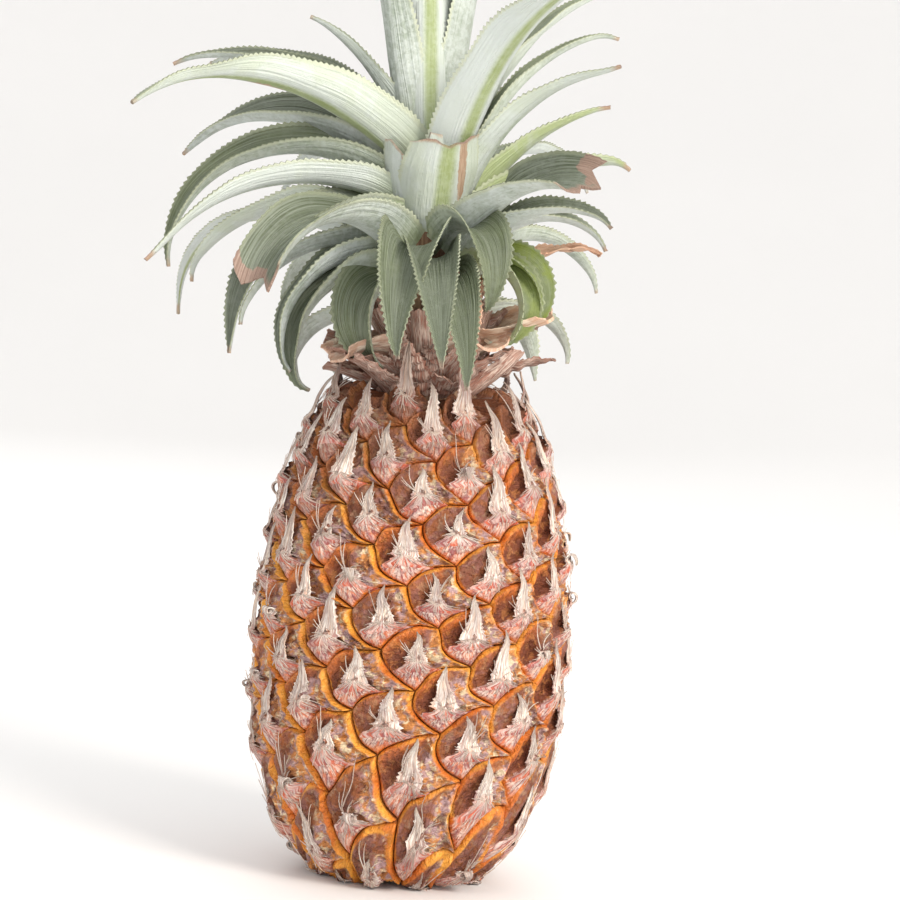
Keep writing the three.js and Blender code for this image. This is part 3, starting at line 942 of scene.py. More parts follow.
def skin_height(u: Array, v: Array, k: int) -> Array:
    """The relief of one eye: a shield below, and a rim round a hollow and a swelling above.

    Args:
        u: Places across the eye, -1 to 1.
        v: Places up the eye, -1 to 1.
        k: The eye's number.

    Returns:
        Heights off the fruit's mean surface, in millimetres.
    """
    gentle = (u + v) / 2
    steep = (v - u) / 2
    edge = 0.5 - np.maximum(np.abs(gentle), np.abs(steep))
    swell = 0.85 + 0.3 * chance(k, 1)
    spots = np.stack([u * 3, v * 3], axis=-1)
    crumple = wobble(spots, 1.6, 1000 + k)
    beside = SHIELD.beside_tongue(u, v)

    ridge = RELIEF.ridge * np.exp(-(((u - SHIELD.axis) / 0.26) ** 2)) * smooth(-0.9, -0.3, v)
    shield = RELIEF.shield + RELIEF.shield_swell * swell * smooth(0, 0.26, edge)
    shield = shield + ridge + RELIEF.shield_crumple * crumple

    to_left = 0.5 - steep
    to_right = 0.5 - gentle
    filled = smooth(0.5, 0.8, np.array(mottled_share(k)))
    wall = RELIEF.wall - (RELIEF.hollow - RELIEF.filling * filled) * smooth(0.05, 0.32, to_left)
    in_hollow = np.exp(-(((u + 0.36) / 0.2) ** 2) - (((v - 0.15) / 0.25) ** 2))
    wall = wall + filled * RELIEF.cushion * in_hollow
    at_right = np.exp(-(((to_right - 0.36) / 0.12) ** 2) - (((v - 0.1) / 0.3) ** 2))
    bulge = RELIEF.bulge * swell * at_right
    wrinkled = np.abs(wobble(spots, 1.1, 3000 + k))
    mound = RELIEF.mound * swell - RELIEF.rim_step * smooth(0.06, 0.15, to_right)
    mound = mound + bulge + RELIEF.folds * wobble(spots, 0.8, 2000 + k)
    upper = wall + (mound - wall) * smooth(-0.14, 0.08, beside) + RELIEF.crumple * crumple
    upper = upper + RELIEF.wrinkle * (0.6 - wrinkled) * smooth(0.05, 0.2, edge)

    height = shield + (upper - shield) * smooth(0.0, 0.06, v - SHIELD.top(u))
    lip = 1 - (1 - np.clip(edge / 0.07, 0, 1)) ** 2
    return RELIEF.groove + (height - RELIEF.groove) * lip


@dataclass
class Rind:
    """The fruit's skin, one relief a diamond cell, joined into a closed body."""

    form: FruitForm
    faces_a_side: int = 24
    crowding: float = 0.45
    foot_clearance: float = 0.2
    seam: float = 0.02

    def build(self, finish: Material) -> None:
        """Models the skin.

        Args:
            finish: The rind's material.
        """
        even = np.linspace(-1, 1, self.faces_a_side + 1)
        share = 0.5 * ((1 - self.crowding) * even + self.crowding * np.sin(math.pi / 2 * even))
        gentle, steep = np.meshgrid(share, share)
        u, v = gentle - steep, gentle + steep
        pattern = sheet_of_grid("eye", self.faces_a_side, self.faces_a_side)
        place_uvs(pattern, gentle + 0.5, steep + 0.5)
        pattern.data.materials.append(finish)
        cells = copies_of(pattern, len(self.form.eyes))
        for k, cell in zip(self.form.eyes, cells):
            place_grid(cell, self.form.on_eye(k, u, v, skin_height(u, v, k)))
            tag_corners(cell, "eye", chance(k, 11), chance(k, 12), mottled_share(k))
        skin = join(cells, "rind")
        self.close(skin)
        finish_piece(skin, ["fruit"], smooth_angle=75)

    def close(self, skin: Piece) -> None:
        """Sews the cells together, closes both ends and keeps the foot above the floor."""
        activate(skin)
        bpy.ops.object.mode_set(mode="EDIT")
        bpy.ops.mesh.select_mode(type="EDGE")
        bpy.ops.mesh.select_all(action="SELECT")
        bpy.ops.mesh.remove_doubles(threshold=self.seam * MM)
        for top in (False, True):
            bpy.ops.mesh.select_all(action="DESELECT")
            bpy.ops.mesh.select_non_manifold(
                extend=False, use_wire=False, use_multi_face=False, use_non_contiguous=False, use_verts=False
            )
            self.keep_selected(skin, top)
            bpy.ops.mesh.extrude_region_move()
            bpy.ops.mesh.merge(type="CENTER")
        bpy.ops.mesh.select_all(action="SELECT")
        bpy.ops.mesh.normals_make_consistent(inside=False)
        bpy.ops.object.mode_set(mode="OBJECT")
        points = read_points(skin)
        points[:, 2] = np.maximum(points[:, 2], self.foot_clearance * MM)
        move_points(skin, points)

    def keep_selected(self, skin: Piece, top: bool) -> None:
        """Leaves only the open edge at one end of the fruit selected."""
        bpy.ops.object.mode_set(mode="OBJECT")
        middle = self.form.widest * MM
        data = skin.data
        for edge in data.edges:
            if edge.select:
                height = data.vertices[edge.vertices[0]].co.z
                edge.select = (height > middle) == top
        for vertex in data.vertices:
            vertex.select = vertex.select and (vertex.co.z > middle) == top
        bpy.ops.object.mode_set(mode="EDIT")


@dataclass(frozen=True)
class BractGrid:
    """One eye's bract as a grid.

    It has places across it (-1 to 1) and along it (0 to 1), how far its edge is frayed out and how high its
    long folds stand, both in millimetres.
    """

    eye: int
    side: Array
    along: Array
    fray: Array
    strands: Array


@dataclass
class Bracts:
    """The papery bract of each eye: a broad foot over the shield that narrows into a frayed tongue."""

    form: FruitForm
    across: int = 6
    along: int = 34
    foot_share: float = 0.3
    foot_low: float = -0.62
    length: float = 15.5
    neck_length: float = 20
    neck_eyes: int = 21
    tongue_half: float = 2.4
    fray_least: float = 0.1
    fray: float = 1.5
    strand: float = 0.35
    bend: float = 4.2
    curl: float = 0.52
    lift: float = 3.9
    floor_gap: float = 0.9
    thickness: float = 0.4
    full_eye: float = 11.5
    first_seed: int = 5000

    def build(self, finish: Material) -> None:
        """Models all the bracts as one piece.

        Args:
            finish: The papery material.
        """
        pattern = sheet_of_grid("bract", self.across, self.along)
        pattern.data.materials.append(finish)
        sheets = copies_of(pattern, len(self.form.eyes))
        for k, sheet in zip(self.form.eyes, sheets):
            place_grid(sheet, self.points(k))
            tag_corners(sheet, "blade", chance(k, 21), chance(k, 22), self.browned(k))
        bracts = join(sheets, "bracts")
        thicken(bracts, self.thickness)
        finish_piece(bracts, [])

    def looped(self, k: int, angle: float) -> bool:
        """Whether a bract has curled away from the fruit: oftener at its sides and back, and low down."""
        likely = 0.08 + 0.3 * (1 - math.cos(angle)) + 0.25 * max(0.0, 1 - k / LOW_EYES)
        return chance(k, 24) < likely and self.near_neck(k) == 0

    def browned(self, k: int) -> float:
        """How brown a bract has gone: most round the neck, and unevenly elsewhere."""
        return min(1.0, 0.9 * self.near_neck(k) + 0.45 * chance(k, 23) ** 2)

    def near_neck(self, k: int) -> float:
        """How close an eye is to the neck, 1 for the last one."""
        return max(0.0, 1 - (self.form.last_eye - k) / self.neck_eyes)

    def size(self, k: int) -> float:
        """How large an eye's bract is, 1 for a full-grown eye."""
        return min(1.0, self.form.half_width(k) / self.full_eye)

    def root(self, k: int) -> tuple[Array, Array]:
        """The running number and azimuth of the place where a bract's tongue leaves the shield."""
        return self.form.spot(k, np.array([SHIELD.axis]), np.array([SHIELD.crossing]))

    def foot_half(self, v: Array) -> Array:
        """Half the foot's width at v, in the eye's own places."""
        room = 1 + v - 0.06
        rise = np.clip((v - SHIELD.shoulder - 0.02) / SHIELD.peak, 0.03, 1)
        return np.minimum(room, 0.02 - SHIELD.spread * np.log(rise))

    def points(self, k: int) -> Array:
        """One bract's points.

        Args:
            k: The eye's number.

        Returns:
            An array of along + 1 rows of across + 1 points, in millimetres.
        """
        random = np.random.default_rng(self.first_seed + k)
        side, b = np.meshgrid(np.linspace(-1, 1, self.across + 1), np.linspace(0, 1, self.along + 1))
        margin = np.abs(side) > 0.99
        every_other = (np.arange(self.along + 1) % 2)[:, None]
        fray = (self.fray_least + self.fray * random.random(side.shape) ** 2) * margin * every_other
        strands = self.strand * np.cos(side * math.pi * (1.8 + chance(k, 5)) + 6 * chance(k, 8))
        grid = BractGrid(k, side, b, fray, strands)
        low, high = self.foot(grid), self.tongue(grid)
        points = low + (high - low) * smooth(self.foot_share - 0.08, self.foot_share + 0.1, b)[..., None]
        if self.near_neck(k) > 0:
            share = (self.near_neck(k) * smooth(0.3, 0.6, b))[..., None]
            points = points + (self.upright(grid) - points) * share
        points[..., 2] = np.maximum(points[..., 2], self.floor_gap)
        return points

    def foot(self, grid: BractGrid) -> Array:
        """A bract as its foot runs: on the shield, following its upper edge in to the tongue.

        Args:
            grid: The bract's grid.

        Returns:
            The points, in millimetres.
        """
        foot = np.clip(grid.along / self.foot_share, 0, 1.6)
        v = self.foot_low + (SHIELD.crossing - self.foot_low) * foot**0.8
        half = self.foot_half(v) + 0.07 * grid.fray * smooth(0.2, 0.5, foot)
        u = SHIELD.axis * smooth(-1, -0.5, v) + grid.side * half
        skin = skin_height(u, np.minimum(v, SHIELD.top(u) - 0.01), grid.eye)
        on_skin = skin - 0.5 + 0.95 * smooth(0.0, 0.35, foot) + grid.strands * smooth(0.3, 1, foot)
        return self.form.on_eye(grid.eye, u, v, on_skin)

    def tongue_size(self, grid: BractGrid) -> tuple[Array, float, Array, Array]:
        """How large a bract's tongue is.

        Args:
            grid: The bract's grid.

        Returns:
            Places up the tongue (0 to 1), its length, its half width there, and how far it is from its end.
        """
        k = grid.eye
        up = np.clip((grid.along - self.foot_share) / (1 - self.foot_share), 0, 1)
        size = self.size(k)
        near_neck = self.near_neck(k)
        length = self.length * (1 - near_neck) + self.neck_length * near_neck
        length *= size * (0.6 + 0.65 * chance(k, 2))
        ending = 1 - up**1.5
        flare = 1 + 1.1 * np.exp(-up / 0.11)
        width = size * self.tongue_half * flare * ending * (0.65 + 0.6 * chance(k, 14))
        return up, length, width + 0.12 + 0.75 * grid.fray * ending * size, ending

    def tongue(self, grid: BractGrid) -> Array:
        """A bract as its tongue runs: straight up over the fruit, or curled away from it.

        Args:
            grid: The bract's grid.

        Returns:
            The points, in millimetres.
        """
        form, k, side = self.form, grid.eye, grid.side
        up, length, width, ending = self.tongue_size(grid)
        turn_0, angle_0 = self.root(k)
        turn = turn_0 + up * length / form.rise_at(float(turn_0[0]))
        wave = 0.8 * np.sin(7 * up + 6 * chance(k, 4)) * up
        bend = self.size(k) * (self.bend * (chance(k, 3) - 0.55) * up**1.3 + wave)
        angle = angle_0 + (side * width + bend) / form.radius_at(turn)
        free = self.lift + 0.6 * (chance(k, 4) - 0.5) - 1.0 * up**1.5 - 0.45 * side**2
        free = free + grid.strands * ending + 0.3 * np.sin(9 * up + 5 * chance(k, 7)) * up
        if self.looped(k, float(angle_0[0])):
            full = math.radians(170 + 110 * chance(k, 25))
            round_by = full * up**1.2
            arc = self.curl * length / full
            turn = turn_0 + arc * np.sin(round_by) / form.rise_at(float(turn_0[0]))
            free = free - 1.2 * up + arc * (1 - np.cos(round_by))
        return form.on_fruit(turn, angle, free)

    def upright(self, grid: BractGrid) -> Array:
        """A bract as it runs round the neck: its tip stands upright instead of following the fruit inward.

        Args:
            grid: The bract's grid.

        Returns:
            The points, in millimetres.
        """
        up, length, width, _ = self.tongue_size(grid)
        turn_0, angle_0 = self.root(grid.eye)
        start = self.form.on_fruit(turn_0, angle_0, np.full(1, self.lift))[0]
        heading = float(angle_0[0])
        tangent = np.array([math.cos(heading), math.sin(heading), 0])
        outward = np.array([math.sin(heading), -math.cos(heading), 0])
        rise = np.array([0, 0, 1.0]) * (up * length)[..., None]
        aside = tangent * (grid.side * width)[..., None]
        leant = grid.strands + 2.5 * (chance(grid.eye, 9) - 0.3) * up**2
        return start + rise + aside + outward * leant[..., None]


@dataclass
class Fibres:
    """The loose fibres round each bract: some fan down over its shield, some stand up beside its tongue."""

    form: FruitForm
    a_tuft: int = 17
    downward: int = 11
    steps: int = 6
    half_width: float = 0.2
    thickness: float = 0.2
    fan: float = math.radians(78)
    reach: float = 0.42
    clearance: float = 0.45
    floor_gap: float = 0.7
    first_seed: int = 9000
    seeds_an_eye: int = 20

    def build(self, finish: Material) -> None:
        """Models all the fibres as one piece.

        Args:
            finish: The fibres' material.
        """
        strip = sheet_of_grid("fibre", 1, self.steps)
        tuft = join(copies_of(strip, self.a_tuft), "tuft")
        tuft.data.materials.append(finish)
        tufts = copies_of(tuft, len(self.form.eyes))
        for k, piece in zip(self.form.eyes, tufts):
            place_grid(piece, np.stack([self.points(k, i) for i in range(self.a_tuft)]))
            tag_corners(piece, "blade", chance(k, 61), chance(k, 62), chance(k, 63))
        fibres = join(tufts, "bract_fibres")
        thicken(fibres, self.thickness)
        finish_piece(fibres, [])

    def points(self, k: int, i: int) -> Array:
        """One fibre's points.

        Args:
            k: The eye's number.
            i: The fibre's number on that eye.

        Returns:
            An array of steps + 1 rows of 2 points, in millimetres.
        """
        random = np.random.default_rng(self.first_seed + self.seeds_an_eye * k + i)
        along = np.linspace(0, 1, self.steps + 1)
        size = 0.6 + 0.7 * random.random()
        curl = 0.5 * (random.random() - 0.5)
        if i < self.downward:
            slant = self.fan * (2 * (i + random.random()) / self.downward - 1)
            far = (0.08 + self.reach * size * along) * (1 - 0.25 * abs(math.sin(slant)))
            u = SHIELD.axis + far * np.sin(slant + curl * along)
            v = SHIELD.fan_at - far * np.cos(slant + curl * along)
            skin = skin_height(u, np.minimum(v, SHIELD.top(u) - 0.01), k)
            height = skin + self.clearance + 1.1 * random.random() * along**2
        else:
            way = 1 if i % 2 else -1
            v = SHIELD.crossing + (0.1 + 0.55 * random.random()) * size * (0.3 + along)
            beside = way * (0.05 + (0.05 + 0.3 * random.random()) * along**1.4) + 0.3 * curl * along**2
            u = SHIELD.axis - SHIELD.lean * (v - SHIELD.crossing) + beside
            height = 3.7 + (2.4 * random.random() - 0.9) * along
        middle = self.form.on_eye(k, u, v, height)
        ahead = np.gradient(middle, axis=0)
        outward = middle * np.array([1.0, 1.0, 0.0])
        side = unit(np.cross(outward, ahead)) * self.half_width * (1 - 0.6 * along)[:, None]
        points = np.stack([middle + side, middle - side], axis=1)
        points[..., 2] = np.maximum(points[..., 2], self.floor_gap)
        return points


# ---------------------------------------------------------------- crown


class Ending(Enum):
    """How a leaf ends."""

    POINTED = "pointed"
    TORN = "torn"
    WITHERED = "withered"


class Tone(Enum):
    """A leaf's colouring: how pale its bloom is, how yellow it has turned, and how much of its tip is dry."""

    SILVER = (0.95, 0.05, 0.015)
    PALE = (0.75, 0.15, 0.03)
    GREEN = (0.4, 0.05, 0.02)
    DARK = (0.1, 0.0, 0.02)
    FADING = (0.5, 0.7, 0.05)
    DRY = (0.5, 0.8, 1.2)


NO_MARK = (0.0, -9.0, 1.0, 1.0)


@dataclass(frozen=True)
class Leaf:
    """One blade: where it is rooted and how it runs, in degrees and millimetres.

    Its mark is a withered place: how far across and along it lies, and its half width and half length.
    """

    azimuth: float
    root: float
    rise: float
    bend: float
    length: float
    width: float
    tone: Tone = Tone.GREEN
    sweep: float = 0
    twist: float = 0
    ending: Ending = Ending.POINTED
    mark: tuple[float, float, float, float] = NO_MARK
    notch: float = 0


POINTED, TORN, WITHERED = Ending
SILVER, PALE, GREEN, DARK, FADING, DRY = Tone
CROWN_LEAVES = [
    Leaf(142, 189, 40, 125, 66, 22, DARK, 6),
    Leaf(112, 190, 45, 130, 52, 20, GREEN),
    Leaf(174, 190, 42, 128, 80, 22, GREEN, -4),
    Leaf(-150, 190, 38, 125, 68, 22, DARK, 4),
    Leaf(-116, 192, 30, 120, 54, 20, DARK),
    Leaf(76, 199, 55, 70, 55, 8, DRY, 0, 40, WITHERED),
    Leaf(60, 200, 81, 217, 59, 22, FADING, 3, 20),
    Leaf(154, 204, 48, 118, 96, 22, GREEN, 4),
    Leaf(94, 205, 79, 136, 67, 19, GREEN, -5, 15),
    Leaf(50, 205, 54, 250, 62, 22, FADING, 16),
    Leaf(-168, 205, 46, 118, 98, 22, GREEN, -4),
    Leaf(24, 206, 41, 211, 55, 10, DRY, -35, 0, WITHERED),
    Leaf(132, 206, 52, 112, 84, 20, DARK, -4),
    Leaf(10, 207, 15, 99, 79, 25, DARK),
    Leaf(-140, 208, 44, 112, 86, 21, DARK, 4),
    Leaf(-40, 209, 10, 188, 52, 30, DARK, -6),
    Leaf(68, 211, 59, 93, 65, 22, GREEN, -8, 20),
    Leaf(-74, 212, 4, 128, 66, 26, DARK, 0, -20),
    Leaf(2, 212, 19, 97, 88, 26, DARK, 5),
    Leaf(50, 213, 61, 82, 70, 32, DARK, -3, 25, TORN, (0.95, 0.97, 0.35, 0.07)),
    Leaf(-119, 215, 33, 86, 140, 14, SILVER, -55),
    Leaf(-44, 216, 44, 120, 80, 30, DARK, -8, -10, TORN, (0.1, 1.0, 0.5, 0.07)),
    Leaf(-6, 217, 19, 108, 81, 32, DARK, -13),
    Leaf(-75, 218, 5, 115, 67, 20, DARK),
    Leaf(29, 219, 47, 189, 59, 26, DARK, -8),
    Leaf(78, 220, 56, 65, 70, 26, FADING, 0, -20),
    Leaf(178, 220, 54, 104, 114, 22, GREEN),
    Leaf(-88, 222, 11, 83, 67, 18, DARK),
    Leaf(15, 223, 68, 12, 38, 34, SILVER, 0, 0, TORN, (0.72, 0.8, 0.06, 0.45)),
    Leaf(144, 223, 58, 96, 112, 20, GREEN, 4),
    Leaf(84, 225, 65, 52, 71, 18, FADING),
    Leaf(-16, 226, 76, 10, 36, 30, SILVER, 0, 0, TORN, (0.5, 0.95, 0.15, 0.2), 0.3),
    Leaf(-150, 226, 54, 96, 118, 22, GREEN),
    Leaf(61, 227, 74, 75, 88, 18, PALE, -2),
    Leaf(-61, 228, 17, 113, 92, 28, DARK, -5, -25),
    Leaf(-106, 229, 25, 81, 92, 19, PALE, -12, 10),
    Leaf(109, 230, 81, 74, 103, 17, DARK, 17),
    Leaf(35, 233, 71, 86, 148, 27, SILVER, 2),
    Leaf(-70, 236, 23, 79, 101, 22, PALE, 4, 12),
    Leaf(166, 237, 66, 80, 126, 20, GREEN, 4),
    Leaf(-93, 238, 45, 133, 110, 28, DARK, 0, -30),
    Leaf(-134, 240, 62, 76, 128, 21, GREEN),
    Leaf(128, 240, 70, 60, 126, 19, GREEN),
    Leaf(-113, 241, 49, 86, 106, 34, DARK, -20, -25),
    Leaf(6, 242, 89, -5, 160, 28, SILVER),
    Leaf(-58, 248, 41, 72, 126, 32, SILVER, 25, 10, POINTED, (0.25, 0.5, 0.2, 0.07)),
    Leaf(-62, 249, 80, -6, 150, 24, DARK),
    Leaf(72, 249, 82, 7, 148, 20, DARK),
    Leaf(-170, 250, 76, 40, 140, 18, DARK),
    Leaf(-87, 252, 76, 44, 62, 17, GREEN),
    Leaf(-96, 253, 52, 65, 96, 22, DARK, 5, -20),
    Leaf(150, 254, 82, 20, 136, 15, DARK),
    Leaf(-34, 256, 86, 6, 138, 15, GREEN),
]

NECK_BRACTS = [
    Leaf(66, 181, 34, 20, 36, 28, DRY, 0, 20, TORN),
    Leaf(34, 181, 28, 40, 26, 26, DRY, 0, 0, TORN),
    Leaf(-52, 181, 28, 60, 26, 24, DRY, 0, 0, TORN),
    Leaf(-168, 181, 32, 50, 28, 26, DRY, 0, 0, TORN),
]


@dataclass
class Crown:
    """The leaning crown's stem and the way that blades run from it."""

    outline: tuple[tuple[float, float], ...] = (
        (17, 164), (17, 192), (15.5, 215), (12, 238), (7, 258), (2, 270)
    )
    lean: float = math.radians(4)
    pivot: float = 171
    root_sink: float = 2
    root_width: float = 0.78
    taper: float = 1.7
    torn_taper: float = 0.3
    root_channel: float = math.radians(50)
    tip_channel: float = math.radians(28)
    channel_round: float = 1.8
    station: float = 1.0
    columns: tuple[float, ...] = (-1, -0.93, -0.72, -0.46, -0.22, 0, 0.22, 0.46, 0.72, 0.93, 1)
    tooth: float = 0.85
    tooth_lean: float = 0.6
    tip_hook: float = 50
    swell: float = 0.6
    crinkle: float = 0.7

    def stem_radius(self, height: float) -> float:
        """The stem's radius at a height."""
        heights = [z for _, z in self.outline]
        return float(np.interp(height, heights, [r for r, _ in self.outline]))

    def leaned(self, points: Array) -> Array:
        """Points of the upright crown, leaned toward -X."""
        c, s = math.cos(self.lean), math.sin(self.lean)
        x, y, z = points[..., 0], points[..., 1], points[..., 2] - self.pivot
        return np.stack([c * x - s * z, y, s * x + c * z + self.pivot], axis=-1)

    def line(self, leaf: Leaf, steps: int) -> tuple[Array, Array, Array]:
        """A blade's middle line.

        Args:
            leaf: The blade.
            steps: How many steps it is made of.

        Returns:
            Its points, its side directions and the directions that its upper side faces, a row each a step.
        """
        t = np.arange(steps + 1) / steps
        heading = np.radians(leaf.azimuth + leaf.sweep * t * t)
        hook = self.tip_hook * (chance(leaf.azimuth, leaf.root) - 0.3) * smooth(0.86, 1, t)
        climb = np.radians(leaf.rise - leaf.bend * t**1.15 - hook)
        flat = np.cos(climb)
        along = np.stack([flat * np.sin(heading), -flat * np.cos(heading), np.sin(climb)], axis=-1)
        side = np.stack([np.cos(heading), np.sin(heading), np.zeros_like(t)], axis=-1)
        twist = np.radians(leaf.twist) * np.minimum(1, 2 * t)
        side = side * np.cos(twist)[:, None] + np.cross(along, side) * np.sin(twist)[:, None]
        face = unit(np.cross(along, side))
        azimuth = math.radians(leaf.azimuth)
        out = self.stem_radius(leaf.root) - self.root_sink
        start = np.array([out * math.sin(azimuth), -out * math.cos(azimuth), leaf.root])
        ahead = np.cumsum(along[:-1], axis=0) * (leaf.length / steps)
        points = start + np.concatenate([np.zeros((1, 3)), ahead])
        return points, side, face

    def blade(self, leaf: Leaf, seed: int) -> tuple[Array, int]:
        """The middle surface of a blade, with its channel, waved margins and forward teeth.

        Args:
            leaf: The blade.
            seed: Sets its unevenness.

        Returns:
            An array of steps + 1 rows of points in millimetres, a point a column, and the number of steps.
        """
        steps = max(18, round(leaf.length / self.station))
        points, side, face = self.line(leaf, steps)
        t = (np.arange(steps + 1) / steps)[:, None]
        a = np.array(self.columns)[None, :]
        random = np.random.default_rng(seed)
        base = self.root_width + (1 - self.root_width) * np.sin(np.minimum(1, t / 0.3) * math.pi / 2)
        torn = leaf.ending is Ending.TORN
        taper = 1 - self.torn_taper * t * t if torn else 1 - t**self.taper
        half = np.maximum(0.5 * leaf.width * base * taper, 0.3)

        # fine teeth on both margins, each pointing a little forward
        margin = np.abs(a) > 0.999
        toothed = (np.arange(steps + 1) % 2)[:, None] * (0.6 + 0.6 * random.random((steps + 1, a.shape[1])))
        toothed = self.tooth * toothed * smooth(0.02, 0.1, t) * (0.3 + 0.7 * np.minimum(1, half / 5)) * margin
        reach = np.abs(a) * half + toothed

        fold = self.root_channel + (self.tip_channel - self.root_channel) * np.minimum(1, 1.5 * t)
        rounded = np.abs(a) ** self.channel_round
        x = np.sign(a) * reach * np.cos(fold)
        up = reach * np.sin(fold) * rounded
        swell = np.stack(np.broadcast_arrays(a * 2, t * leaf.length / 14), -1)
        up = up + self.swell * wobble(swell, 2.2, seed) * np.abs(a) ** 1.5 * np.minimum(1, half / 6)
        if leaf.ending is Ending.WITHERED:
            crinkle = np.stack(np.broadcast_arrays(a, t * 9), -1)
            up = up + self.crinkle * wobble(crinkle, 1.4, seed)
        ahead = unit(np.gradient(points, axis=0))
        surface = points[:, None, :] + side[:, None, :] * x[..., None] + face[:, None, :] * up[..., None]
        surface = surface + ahead[:, None, :] * (self.tooth_lean * toothed)[..., None]
        if torn:
            surface = self.tear(surface, a, t, leaf.notch, seed)
        return surface, steps

    def sheet(self, name: str, surface: Array, steps: int) -> Piece:
        """A grid laid on a blade's surface, leaned with the crown, with its UV map."""
        across = (1 + np.array(self.columns)[None, ::-1]) / 2
        sheet = sheet_of_grid(name, len(self.columns) - 1, steps)
        place_grid(sheet, self.leaned(surface[:, ::-1]))
        along = np.linspace(0, 1, steps + 1)[:, None]
        place_uvs(sheet, *np.broadcast_arrays(across, along))
        return sheet

    def tear(self, surface: Array, a: Array, t: Array, notch: float, seed: int) -> Array:
        """Draws a blade's end back unevenly, as where its tip has torn off.

        Args:
            surface: The blade's points, row by row from its root.
            a: Places across the blade, -1 to 1.
            t: Places along it, 0 to 1.
            notch: How deep a V is torn into its middle, as a share of its length.
            seed: Sets the tear.

        Returns:
            The torn blade's points.
        """
        uneven = 0.04 + 0.03 * wobble(np.stack([a * 2.2, 0 * a], -1), 1.6, seed) + 0.05 * np.abs(a) ** 3
        lost = np.clip(uneven, 0, 0.2) + notch * np.clip(1 - np.abs(a) / 0.8, 0, 1)
        kept = t * (1 - lost * smooth(0.3, 1.0, t))
        rows = kept * (surface.shape[0] - 1)
        low = np.clip(np.floor(rows).astype(int), 0, surface.shape[0] - 2)
        share = (rows - low)[..., None]
        columns = np.broadcast_to(np.arange(surface.shape[1])[None, :], low.shape)
        return surface[low, columns] * (1 - share) + surface[low + 1, columns] * share


@dataclass
class LeafWork:
    """Makes crown leaves as pieces."""

    crown: Crown
    thickness: float = 1.2
    thin_edge: float = 0.35
    neck_seed: int = 300
    leaf_seed: int = 500

    def build(self, name: str, leaf: Leaf, finishes: list[Material], slot: str, seed: int) -> None:
        """Models one blade in the place of its CAD node.

        Args:
            name: The CAD node's name.
            leaf: The blade.
            finishes: The materials of its upper side and its under side.
            slot: Not used.
            seed: Sets its unevenness.
        """
        surface, steps = self.crown.blade(leaf, seed)
        sheet = self.crown.sheet(name + "_blade", surface, steps)
        for finish in finishes:
            sheet.data.materials.append(finish)
        pale, yellow, dry = leaf.tone.value
        vary = 0.16 * (chance(seed, 31) - 0.5)
        yellow = min(1.0, yellow + 0.22 * chance(seed, 36) ** 2)
        tag_corners(sheet, "leaf", pale + vary, yellow, dry * (0.7 + 0.6 * chance(seed, 32)))
        tag_corners(sheet, "blade", chance(seed, 33), chance(seed, 34), chance(seed, 35))
        tag_corners(sheet, "mark", *leaf.mark)
        thick = sheet.vertex_groups.new(name="thick")
        share = 1 - np.abs(np.array(self.crown.columns)) ** 1.5
        for column, weight in enumerate(share):
            members = list(range(column, len(sheet.data.vertices), len(share)))
            thick.add(members, float(weight), "REPLACE")
        thicken(sheet, self.thickness, self.thin_edge, True)
        finish_piece(sheet, [name])


@dataclass
class StemWork:
    """The crown's stem and the dry scales that cover its foot."""

    crown: Crown
    sides: int = 48
    rings: int = 26
    swell: float = 0.03
    scales: int = 66
    scale_thickness: float = 0.5
    lowest_scale: float = 167
    scale_zone: float = 24
    scale_crowding: float = 1.6
    first_seed: int = 700

    def build(self, bark: Material, paper: Material) -> None:
        """Models the stem and its scales.

        Args:
            bark: The stem's material.
            paper: The scales' material.
        """
        _, low = self.crown.outline[0]
        _, high = self.crown.outline[-1]
        stem = cylinder("crown_stem_core", self.sides, 1, low, high)
        bpy.ops.object.mode_set(mode="EDIT")
        bpy.ops.mesh.select_all(action="SELECT")
        for height in np.linspace(low, high, self.rings)[1:-1]:
            bpy.ops.mesh.bisect(plane_co=(0, 0, height * MM), plane_no=(0, 0, 1))
            bpy.ops.mesh.select_all(action="SELECT")
        bpy.ops.object.mode_set(mode="OBJECT")
        points = read_points(stem) / MM
        radius = np.array([self.crown.stem_radius(z) for z in points[:, 2]])
        points[:, :2] *= (radius * (1 + self.swell * wobble(points, 9, 5)))[:, None]
        move_points(stem, self.crown.leaned(points) * MM)
        stem.data.materials.append(bark)
        tag_corners(stem, "blade", 0.3, 0.7, 0.5)
        finish_piece(stem, ["crown_stem"], smooth_angle=60)
        self.scale_ring(paper)

    def scale_ring(self, paper: Material) -> None:
        """Models the dry scales round the stem's foot as one piece."""
        sheets = []
        for i in range(self.scales):
            high = (i / self.scales) ** self.scale_crowding
            leaf = Leaf(
                azimuth=math.degrees(i * GOLDEN_TURN),
                root=self.lowest_scale + self.scale_zone * high,
                rise=24 + 34 * high + 56 * chance(i, 41) * (1 - 0.6 * high),
                bend=70 * (chance(i, 42) - 0.35) * (1 - 0.6 * high),
                length=(19 + 17 * chance(i, 43)) * (1 - 0.4 * high),
                width=10 + 11 * chance(i, 44),
                sweep=30 * (chance(i, 45) - 0.5),
                twist=50 * (chance(i, 46) - 0.5),
                ending=Ending.TORN if chance(i, 47) < 0.3 else Ending.WITHERED,
            )
            surface, steps = self.crown.blade(leaf, self.first_seed + i)
            sheet = self.crown.sheet("scale", surface, steps)
            sheet.data.materials.append(paper)
            tag_corners(sheet, "blade", chance(i, 48), chance(i, 49), chance(i, 50))
            sheets.append(sheet)
        ring = join(sheets, "stem_scales")
        thicken(ring, self.scale_thickness)
        finish_piece(ring, [])


